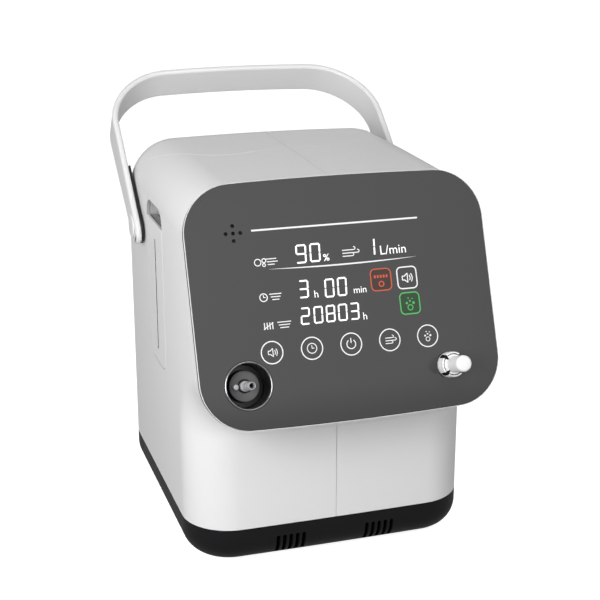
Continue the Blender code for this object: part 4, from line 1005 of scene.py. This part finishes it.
bright_nickel = moulded("bright_nickel", (0.38, 0.38, 0.39), 0.30, spread=0.03, grain=0.000002, metal=1.0)
trim_outline = [
    (cup_r, -glass_t), (trim_outer_r - 0.0001, -glass_t), (trim_outer_r, -glass_t + 0.0001),
    (trim_outer_r, 0.0001), (trim_outer_r - 0.0002, 0.0004), (trim_outer_r - 0.0006, 0.0006),
    (cup_r + 0.0006, 0.0006), (cup_r + 0.0002, 0.0004), (cup_r, 0.0000),
]
trim = outlet_ring("outlet_trim", trim_outline, 96, bright_nickel, 60)
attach(trim, "housing")
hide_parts("outlet_trim_ring")

nozzle_grey = moulded("nozzle_grey", (0.42, 0.42, 0.43), 0.28, spread=0.04, grain=0.00002)
foot_n = -cup_depth - 0.0028
nozzle_outline = [
    (0.0022, foot_n - 0.008), (0.0028, foot_n - 0.008), (0.0028, foot_n - 0.002),
    (0.0065, foot_n - 0.002), (0.0065, foot_n), (0.0040, foot_n),
    (0.0040, -boss_depth + 0.0046), (0.0038, -boss_depth + 0.0050), (0.0032, -boss_depth + 0.0053),
    (0.0028, -boss_depth + 0.0060), (0.0028, -0.0024), (0.0034, -0.0020), (0.0034, -0.0016),
    (0.0029, 0.0034), (0.0026, 0.0036), (0.0026, 0.0044), (0.0033, 0.0046), (0.0033, 0.0050),
    (0.0028, nozzle_tip - 0.0004), (0.0026, nozzle_tip), (0.0023, nozzle_tip), (0.0022, nozzle_tip - 0.0003),
]
nozzle = outlet_ring("oxygen_nozzle_barb", nozzle_outline, 40, nozzle_grey, 38)
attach(nozzle, "housing")
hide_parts("oxygen_nozzle")

pin_outline = [
    (0, 0.0003), (0.0022, 0.0003), (0.0022, 0.0043), (0.0020, 0.0047), (0.0015, 0.0050), (0, 0.0050),
]
key_pin = blank(
    "outlet_pin", on_panel(turning(pin_outline, 24), outlet_u - 0.0075, outlet_v, -boss_depth), nozzle_grey
)
key_pin = soften(key_pin, 0.0, corner=50)
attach(key_pin, "housing")
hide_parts("outlet_key_pin")

# ---------------------------------------------------------------- nebuliser port
# White nylon collar with four release notches, clamped through the panel, and the notched push-in
# plug that closes it. The plug slides out of the collar's bore. A black ring in the bore is painted shade
# for the clearance round the plug.
port_r = 0.010
port_h = 0.0087
port_bore_r = 0.0085
plug_r = 0.0078
plug_stub_r = 0.0063
plug_end = 0.0284
plug_depth = 0.009


def wedge(half_w, half_h, narrow, low, radius, turn):
    """Cutter for one notch round the port, wide at the rim and narrower inside; it leaves the notch's faces
    flat black, as painted shade.
    """
    mesh = plate(half_w, half_h, [0] * 4, low, port_h + 0.001, 1)
    for v in mesh.verts:
        v.co.y *= 1.0 if v.co.x > 0 else narrow
    bmesh.ops.translate(mesh, vec=(radius, 0, 0), verts=mesh.verts)
    spin = Matrix.Rotation(math.radians(turn), 3, "Z")
    bmesh.ops.rotate(mesh, cent=(0, 0, 0), matrix=spin, verts=mesh.verts)
    return blank("notch", on_panel(mesh, port_u, port_v), seat_shade_black)


port_white = moulded("port_white", (0.88, 0.88, 0.875), 0.34, spread=0.015, grain=0.00001)
collar_outline = [
    (0.004, -plug_depth - 0.003), (port_r + 0.002, -plug_depth - 0.003), (port_r + 0.002, -0.0023),
    (port_r, -0.0023), (port_r, port_h * 0.42), (port_r - 0.0002, port_h * 0.46),
    (port_r - 0.0003, port_h * 0.5), (port_r - 0.0003, port_h - 0.0006), (port_r - 0.0009, port_h),
    (port_bore_r + 0.0001, port_h), (port_bore_r, port_h - 0.0002), (port_bore_r, -plug_depth - 0.0005),
    (0.004, -plug_depth - 0.0005),
]
collar = blank("collar", on_panel(turning(collar_outline, 64, closed=True), port_u, port_v), port_white)
notches = [wedge(0.0027, 0.0024, 0.42, 0.0006, port_r, 45 + 90 * k) for k in range(4)]
carve(collar, notches)
collar = soften(collar, 0.0002, 2, corner=38)
collar.name = "nebuliser_collar"
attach(collar, "housing")
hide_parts("nebuliser_socket")
# Painted shade: a flat black ring filling the clearance between the plug and the collar's bore.
bore_shade_outline = [
    (plug_r + 0.00015, -0.004), (port_bore_r + 0.00005, -0.004),
    (port_bore_r + 0.00005, port_h - 0.0008), (plug_r + 0.00015, port_h - 0.0008),
]
mesh = on_panel(turning(bore_shade_outline, 56, closed=True), port_u, port_v)
bore_shade_ring = blank("nebuliser_bore_shade", mesh, seat_shade_black)
bore_shade_ring = soften(bore_shade_ring, 0.0, corner=38)
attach(bore_shade_ring, "housing")

plug_outline = [
    (0, -plug_depth), (plug_stub_r, -plug_depth), (plug_r - 0.0003, -plug_depth + 0.0012),
    (plug_r, -plug_depth + 0.0018), (plug_r, port_h - 0.0006), (plug_r - 0.0002, port_h - 0.0002),
    (plug_r - 0.0006, port_h), (plug_stub_r + 0.0003, port_h), (plug_stub_r, port_h + 0.0003),
    (plug_stub_r, plug_end - 0.0020), (plug_stub_r - 0.0002, plug_end - 0.0011),
    (plug_stub_r - 0.0007, plug_end - 0.0004), (plug_stub_r - 0.0016, plug_end - 0.0001), (0, plug_end),
]
plug = blank("plug", on_panel(turning(plug_outline, 56), port_u, port_v), port_white)
grips = [wedge(0.0017, 0.0016, 0.35, port_h - 0.004, 0.0079, 45 + 90 * k) for k in range(4)]
carve(plug, grips)
plug = soften(plug, 0.0, corner=50)
plug.name = "nebuliser_plug_body"
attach(plug, "port_plug")
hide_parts("nebuliser_plug")

# ---------------------------------------------------------------- carry handle
# One moulded band of light grey ABS with a wide, slightly bowed grip. A flat black strip inside each arm
# is painted shade for the gap between the arm and the wall. The arms turn on pins through the side walls,
# over black washers and held inside by spring clips.
handle_lean = math.radians(52)
handle_half_w = 0.1273
handle_reach = 0.1689
handle_tail = 0.0045
handle_corner_r = 0.0576
handle_bow = 0.0062
band_t = 0.0055
grip_half_w = 0.0155
pivot_half_w = 0.0120
pin_r = 0.0049
pin_head_r = 0.010
washer_r = 0.0105
clip_r = 0.0095
arm_climb = 0.105
gap_shade_inset = 0.0004
gap_shade_clearance = 0.0014
gap_shade_t = 0.0016
handle_abs = moulded("handle_abs", (0.81, 0.81, 0.81), 0.34, spread=0.015, grain=0.00002)
band = bmesh.new()
bmesh.ops.create_grid(band, x_segments=1, y_segments=1, size=1)
for v in band.verts:
    v.co.x *= handle_half_w
    v.co.y = handle_reach - handle_bow if v.co.y > 0 else -handle_tail - pivot_half_w
for corner in sorted(band.verts, key=lambda v: v.co.y)[2:]:
    round_corner(band, corner, handle_corner_r, 24)
arm_foot = -handle_tail - pivot_half_w
foot_line = [e for e in band.edges if all(v.co.y < arm_foot + 1e-6 for v in e.verts)]
bmesh.ops.delete(band, geom=band.faces[:], context="FACES_ONLY")
bmesh.ops.delete(band, geom=foot_line, context="EDGES")
for k in range(-5, 6):
    slice_all(band, (k * 0.0134, 0, 0), (1, 0, 0))
round_rows = [math.cos(math.radians(a)) for a in (8, 18, 30, 42, 55, 70, 90)]
arm_rows = [-handle_tail - pivot_half_w * share for share in round_rows]
for t in arm_rows + [0.0, 0.014, 0.028, 0.042, 0.056, 0.070, 0.084, 0.098]:
    slice_all(band, (0, t, 0), (0, 1, 0))
for v in band.verts:
    v.co.y += handle_bow * (1 - (v.co.x / handle_half_w) ** 2) * max(v.co.y, 0) / (handle_reach - handle_bow)
    v.co.z = -1
grown = bmesh.ops.extrude_edge_only(band, edges=band.edges[:])
raised = [g for g in grown["geom"] if isinstance(g, bmesh.types.BMVert)]
bmesh.ops.translate(band, vec=(0, 0, 2), verts=raised)


def arm_half(t):
    """Half the width of the band at a height above the pivot: it widens smoothly up the arm."""
    climb = max(0.0, min(1.0, t / arm_climb))
    return pivot_half_w + (grip_half_w - pivot_half_w) * climb * climb * (3 - 2 * climb)


for v in band.verts:
    if v.co.y < -handle_tail:
        share = math.sqrt(max(0.0, 1 - ((v.co.y + handle_tail) / pivot_half_w) ** 2))
        v.co.z *= max(pivot_half_w * share, 0.0012)
    else:
        v.co.z *= arm_half(v.co.y)
bmesh.ops.remove_doubles(band, verts=band.verts, dist=1e-6)
bmesh.ops.recalc_face_normals(band, faces=band.faces)
crown = max(band.faces, key=lambda f: f.calc_center_median().y)
if crown.normal.y < 0:
    bmesh.ops.reverse_faces(band, faces=band.faces)
arm_way = Vector((0, math.sin(handle_lean), math.cos(handle_lean)))
set_at(band, (0, pivot_y, pivot_z), (1, 0, 0), arm_way)
handle = blank("handle", band, handle_abs, turn_out=False)
hollow(handle, band_t)
soften(handle, 0.0026, 6, 40)
bores = []
for side in (-1, 1):
    bore = turning([(0, -0.01), (pivot_hole_r, -0.01), (pivot_hole_r, 0.03), (0, 0.03)], 40)
    bores.append(blank("bore", on_side(bore, side, pivot_y, pivot_z), handle_abs))
carve(handle, bores)
handle = soften(handle, 0.0, corner=40)
handle.name = "carry_handle_band"
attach(handle, "carry_handle")
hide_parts("carry_handle")

# Painted shade: the flat black strip inside each arm stands in for the shade in the gap between the arm and
# the side wall.
arm_gap_shade_black = moulded("arm_gap_shade_black", (0.016, 0.016, 0.017), 0.55, spread=0.1, grain=0.00005, gloss=0.3)
gap_shade_end_r = pivot_half_w - gap_shade_inset
gap_shade_lines = [-handle_tail - gap_shade_end_r * math.cos(math.radians(a)) for a in range(4, 91, 8)]
gap_shade_lines += [0.0, 0.014, 0.028, 0.042, 0.056]
for side, tail in ((-1, "left"), (1, "right")):
    strip = bmesh.new()
    row = []
    for t in gap_shade_lines:
        half = arm_half(t) - gap_shade_inset
        if t < -handle_tail:
            half = math.sqrt(max(0.0, gap_shade_end_r**2 - (t + handle_tail) ** 2))
        row.append((half, t))
    corners = [strip.verts.new((h, t, gap_shade_clearance)) for h, t in row]
    corners += [strip.verts.new((-h, t, gap_shade_clearance)) for h, t in reversed(row)]
    strip.faces.new(corners)
    thicken(strip, strip.faces[:], (0, 0, gap_shade_t))
    out = Vector((side, 0, 0))
    set_at(strip, (side * housing_half_w, pivot_y, pivot_z), arm_way.cross(out), arm_way)
    gap_shade_strip = blank("arm_gap_shade_" + tail, strip, arm_gap_shade_black)
    hole = turning([(0, -0.01), (0.0109, -0.01), (0.0109, 0.03), (0, 0.03)], 48)
    carve(gap_shade_strip, [blank("hole", on_side(hole, side, pivot_y, pivot_z), arm_gap_shade_black)])
    gap_shade_strip = soften(gap_shade_strip, 0.0, corner=40)
    gap_shade_strip.name = "arm_gap_shade_" + tail
    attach(gap_shade_strip, "carry_handle")

washer_black = moulded("washer_black", (0.02, 0.02, 0.021), 0.5, spread=0.1, grain=0.00004, gloss=0.3)
clip_steel = moulded("clip_steel", (0.50, 0.51, 0.52), 0.32, spread=0.06, grain=0.00001, metal=1.0)
handle_in = handle_half_w - band_t - housing_half_w
handle_out = handle_half_w - housing_half_w
for side, tail in ((-1, "left"), (1, "right")):
    head = handle_out + 0.0001
    outline = [
        (0, -housing_wall - 0.004), (pin_r - 0.0004, -housing_wall - 0.004), (pin_r, -housing_wall - 0.0036),
        (pin_r, head), (pin_head_r - 0.0001, head), (pin_head_r, head + 0.0001), (pin_head_r, head + 0.0007),
        (pin_head_r - 0.0002, head + 0.0010), (pin_head_r - 0.0007, head + 0.0013),
        (pin_head_r - 0.0016, head + 0.0015), (0, head + 0.0016),
    ]
    pin = blank("pivot_" + tail, on_side(turning(outline, 56), side, pivot_y, pivot_z), handle_abs)
    pin = soften(pin, 0.0, corner=38)
    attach(pin, "housing")
    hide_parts("pivot_pin_" + tail)
    outline = [
        (pivot_hole_r, 0.0003), (washer_r, 0.0003),
        (washer_r, handle_in - 0.0003), (pivot_hole_r, handle_in - 0.0003),
    ]
    mesh = on_side(turning(outline, 48, closed=True), side, pivot_y, pivot_z)
    washer = blank("washer_" + tail, mesh, washer_black)
    washer = soften(washer, 0.0003, 2)
    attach(washer, "housing")
    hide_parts("pivot_washer_" + tail)
    outline = [
        (pivot_hole_r, -housing_wall - 0.003), (clip_r, -housing_wall - 0.003),
        (clip_r, -housing_wall - 0.0003), (pivot_hole_r, -housing_wall - 0.0003),
    ]
    mesh = on_side(turning(outline, 40, closed=True), side, pivot_y, pivot_z)
    clip = blank("clip_" + tail, mesh, clip_steel)
    clip = soften(clip, 0.0003, 2)
    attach(clip, "housing")
    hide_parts("pivot_clip_" + tail)

# ---------------------------------------------------------------- filter doors
# A flat white ABS door in each side wall swings out from its foot for the intake filter. A slot
# down its middle lets air in. A lip along its top closes the pocket behind, whose finger scoop
# shows above the door.
door_t = 0.0026
door_gap = 0.0004
door_top_z = 0.264
scoop_depth = 0.009
door_lip_t = 0.0022
door_slot_half_w = 0.0017
door_slot_half_h = 0.0475
lip_grey = moulded("lip_grey", (0.34, 0.34, 0.345), 0.5, spread=0.02, grain=0.00003)
pocket_depth = 0.016
pocket_wall = 0.003
filter_foam = moulded(
    "filter_foam", (0.075, 0.075, 0.08), 0.95, spread=0.4, grain=0.0006, fineness=420, gloss=0.15
)
for side, tail in ((-1, "left"), (1, "right")):
    half_h = (door_top_z - door_foot_z - door_gap) / 2
    foot_r = door_corner_r - door_gap
    mesh = plate(door_w / 2 - door_gap, half_h, [foot_r, foot_r, 0.0012, 0.0012], -door_t, 0, 12)
    door = blank("door", on_side(mesh, side, door_y, door_foot_z + door_gap + half_h), white_abs)
    # The slot's cutter gives its walls the seat's flat black: painted shade down the slot.
    mesh = plate(door_slot_half_w, door_slot_half_h, [0.0016] * 4, -0.01, 0.01, 4)
    slot_z = door_foot_z + (door_top_z - door_foot_z) * 0.49
    carve(door, [blank("slot", on_side(mesh, side, door_y, slot_z), seat_shade_black)])
    lip_half_w = door_w / 2 - door_gap - 0.001
    lip_z = door_top_z - door_lip_t / 2 - 0.00005
    mesh = plate(lip_half_w, door_lip_t / 2, [0] * 4, -scoop_depth + 0.0003, -door_t + 0.0005, 1)
    lip = blank("lip", on_side(mesh, side, door_y, lip_z), lip_grey)
    carve(door, [lip], "UNION")
    door = soften(door, 0.0004, 3, 40)
    door.name = "filter_door_panel_" + tail
    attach(door, "door_" + tail)
    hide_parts("filter_door_" + tail)

    # The pocket and its cutters take the painted-shade grey, for the shade inside it.
    rim = -housing_wall - 0.0003
    base = rim - pocket_depth + housing_wall
    half_h = (scoop_top_z - door_foot_z) / 2
    grow = pocket_wall
    mesh = plate(door_w / 2 + grow, half_h + grow, [door_corner_r + grow] * 4, base, rim, 12)
    pocket = blank("pocket", on_side(mesh, side, door_y, door_foot_z + half_h), pocket_shade_grey)
    well_h = (door_top_z - door_foot_z) / 2
    mesh = plate(door_w / 2, well_h, [door_corner_r] * 2 + [0.002] * 2, base + 0.002, 0, 12)
    cutters = [blank("well", on_side(mesh, side, door_y, door_foot_z + well_h), pocket_shade_grey)]
    mesh = plate(door_w / 2, half_h, [door_corner_r] * 4, -scoop_depth, 0, 12)
    cutters.append(blank("scoop", on_side(mesh, side, door_y, door_foot_z + half_h), pocket_shade_grey))
    mesh = plate(door_w / 2 - 0.009, well_h - 0.014, [0.006] * 4, base - 0.01, base + 0.01, 6)
    cutters.append(blank("window", on_side(mesh, side, door_y, door_foot_z + well_h), pocket_shade_grey))
    carve(pocket, cutters)
    pocket = soften(pocket, 0.0006, 3, 40)
    pocket.name = "filter_pocket_shell_" + tail
    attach(pocket, "housing")
    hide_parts("filter_pocket_" + tail)

    pad_low = base + 0.0023
    pad_drop = door_lip_t / 2 + 0.0001
    pad_h = well_h - 0.0009 - pad_drop
    mesh = plate(door_w / 2 - 0.0006, pad_h, [0.0122] * 2 + [0.002] * 2, pad_low, pad_low + 0.009, 8)
    mesh = on_side(mesh, side, door_y, door_foot_z + well_h - pad_drop)
    pad = blank("intake_pad_" + tail, mesh, filter_foam)
    pad = soften(pad, 0.0012, 3, 40)
    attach(pad, "housing")
    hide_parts("intake_filter_" + tail)

# ---------------------------------------------------------------- rear grille, mains inlet and fuse drawer
# Grey nylon finger guard over the fan, and a black inlet with a shrouded three-pin socket over a
# small drawer for its two fuses. All of them snap into openings in the rear wall.
grey_nylon = moulded("grey_nylon", (0.26, 0.265, 0.27), 0.45, spread=0.05, grain=0.00005)
mesh = plate(grille_half, grille_half, [0.003] * 4, -0.0024, 0, 6)
grille = blank("grille", on_back(mesh, 0, grille_z), grey_nylon)
bars = []
for k in range(8):
    for x in (-0.025, 0.025):
        mesh = plate(0.021, 0.0032, [0.0028] * 4, -0.01, 0.01, 5)
        gap_z = grille_z - grille_half + grille_half * 2 * (k + 1) / 9
        bars.append(blank("gap", on_back(mesh, -x, gap_z), grey_nylon))
carve(grille, bars)
grille = soften(grille, 0.0005, 3, 40)
grille.name = "rear_grille_guard"
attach(grille, "housing")
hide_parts("rear_grille")

inlet_black = moulded("inlet_black", (0.014, 0.014, 0.015), 0.4, spread=0.1, grain=0.00003, gloss=0.35)
mesh = plate(inlet_half_w, inlet_half_h, [0.001] * 4, -0.024, 0, 4)
inlet = blank("inlet", on_back(mesh, inlet_x, inlet_z), inlet_black)
mesh = plate(0.012, 0.0085, [0, 0, 0.0045, 0.0045], -0.016, 0.01, 1)
cutters = [blank("shroud", on_back(mesh, inlet_x, inlet_z + 0.0045), inlet_black)]
mesh = plate(0.0113, 0.0058, [0.0003] * 4, -0.0143, 0.01, 2)
cutters.append(blank("drawer_hole", on_back(mesh, inlet_x, inlet_z - 0.0145), inlet_black))
carve(inlet, cutters)
inlet = soften(inlet, 0.0004, 2, 40)
inlet.name = "mains_inlet_body"
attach(inlet, "housing")
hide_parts("mains_inlet")
pin_brass = moulded("pin_brass", (0.72, 0.66, 0.50), 0.25, spread=0.05, grain=0.000005, metal=1.0)
for tail, x, z in (("neutral", -0.007, 0.0005), ("live", 0.007, 0.0005), ("earth", 0, 0.008)):
    mesh = plate(0.001, 0.002, [0.0004] * 4, -0.017, -0.004, 3)
    blade = blank("inlet_pin_" + tail, on_back(mesh, inlet_x - x, inlet_z + z), pin_brass)
    blade = soften(blade, 0.0003, 2, 40)
    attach(blade, "housing")

mesh = plate(0.011, 0.0055, [0.0008] * 4, -0.014, -0.0004, 4)
drawer = blank("drawer", on_back(mesh, inlet_x, inlet_z - 0.0145), grey_nylon)
pull = plate(0.005, 0.0010, [0.0006] * 4, -0.0014, 0.001, 3)
carve(drawer, [blank("pull", on_back(pull, inlet_x, inlet_z - 0.0175), grey_nylon)])
drawer = soften(drawer, 0.0003, 2, 40)
drawer.name = "fuse_drawer_body"
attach(drawer, "drawer")
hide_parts("fuse_drawer")

# ---------------------------------------------------------------- parts inside
# Compressor, sieve beds, tank, valves, cooler, fan, boards and hoses keep their own made shapes.
# Each takes the finish of its stock: lacquer, cast or drawn metal, nylon, rubber or board laminate.
motor_lacquer = moulded("motor_lacquer", (0.05, 0.06, 0.08), 0.38, spread=0.1, grain=0.00004)
cast_aluminium = moulded(
    "cast_aluminium", (0.58, 0.59, 0.60), 0.45, spread=0.08, grain=0.0001, fineness=900, metal=1.0
)
bed_can = moulded("bed_can", (0.66, 0.67, 0.68), 0.3, spread=0.05, grain=0.00002, metal=1.0)
zinc_steel = moulded(
    "zinc_steel", (0.52, 0.53, 0.54), 0.33, spread=0.12, grain=0.00002, fineness=500, metal=1.0
)
fan_black = moulded("fan_black", (0.02, 0.02, 0.022), 0.45, spread=0.1, grain=0.00004, gloss=0.35)
board_green = moulded("board_green", (0.015, 0.11, 0.045), 0.42, spread=0.25, grain=0.00008, fineness=700)
silicone = moulded("silicone", (0.66, 0.68, 0.68), 0.5, spread=0.04, grain=0.00002)
capacitor_can = moulded("capacitor_can", (0.58, 0.58, 0.6), 0.28, spread=0.05, grain=0.00001, metal=1.0)
tank_grey = moulded("tank_grey", (0.30, 0.31, 0.32), 0.45, spread=0.06, grain=0.00005)
stock = {
    motor_lacquer: ("motor_lacquer", ["compressor_motor"]),
    cast_aluminium: (
        "cast_aluminium",
        ["compressor_cylinder_left", "compressor_cylinder_right", "valve_manifold", "heat_exchanger"],
    ),
    bed_can: ("bed_can", ["sieve_bed_left", "sieve_bed_right"]),
    zinc_steel: ("zinc_steel", ["compressor_cradle", "deck_plate"]),
    foot_rubber: (
        "rubber",
        ["isolator_front_left", "isolator_front_right", "isolator_back_left", "isolator_back_right"],
    ),
    fan_black: (
        "black_abs",
        ["fan_frame", "fan_rotor", "solenoid_valve_left", "solenoid_valve_right", "speaker", "power_supply"],
    ),
    board_green: ("board_green", ["main_board", "display_board"]),
    silicone: ("silicone_hose", ["outlet_hose", "compressor_hose"]),
    capacitor_can: ("capacitor_can", ["run_capacitor"]),
    tank_grey: ("grey_nylon", ["oxygen_tank", "bed_stand", "oxygen_sensor"]),
    port_white: ("port_white", ["bacteria_filter"]),
}
for look, (slot_name, names) in stock.items():
    for name in names:
        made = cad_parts[name]
        made.data.materials.clear()
        made.data.materials.append(look)
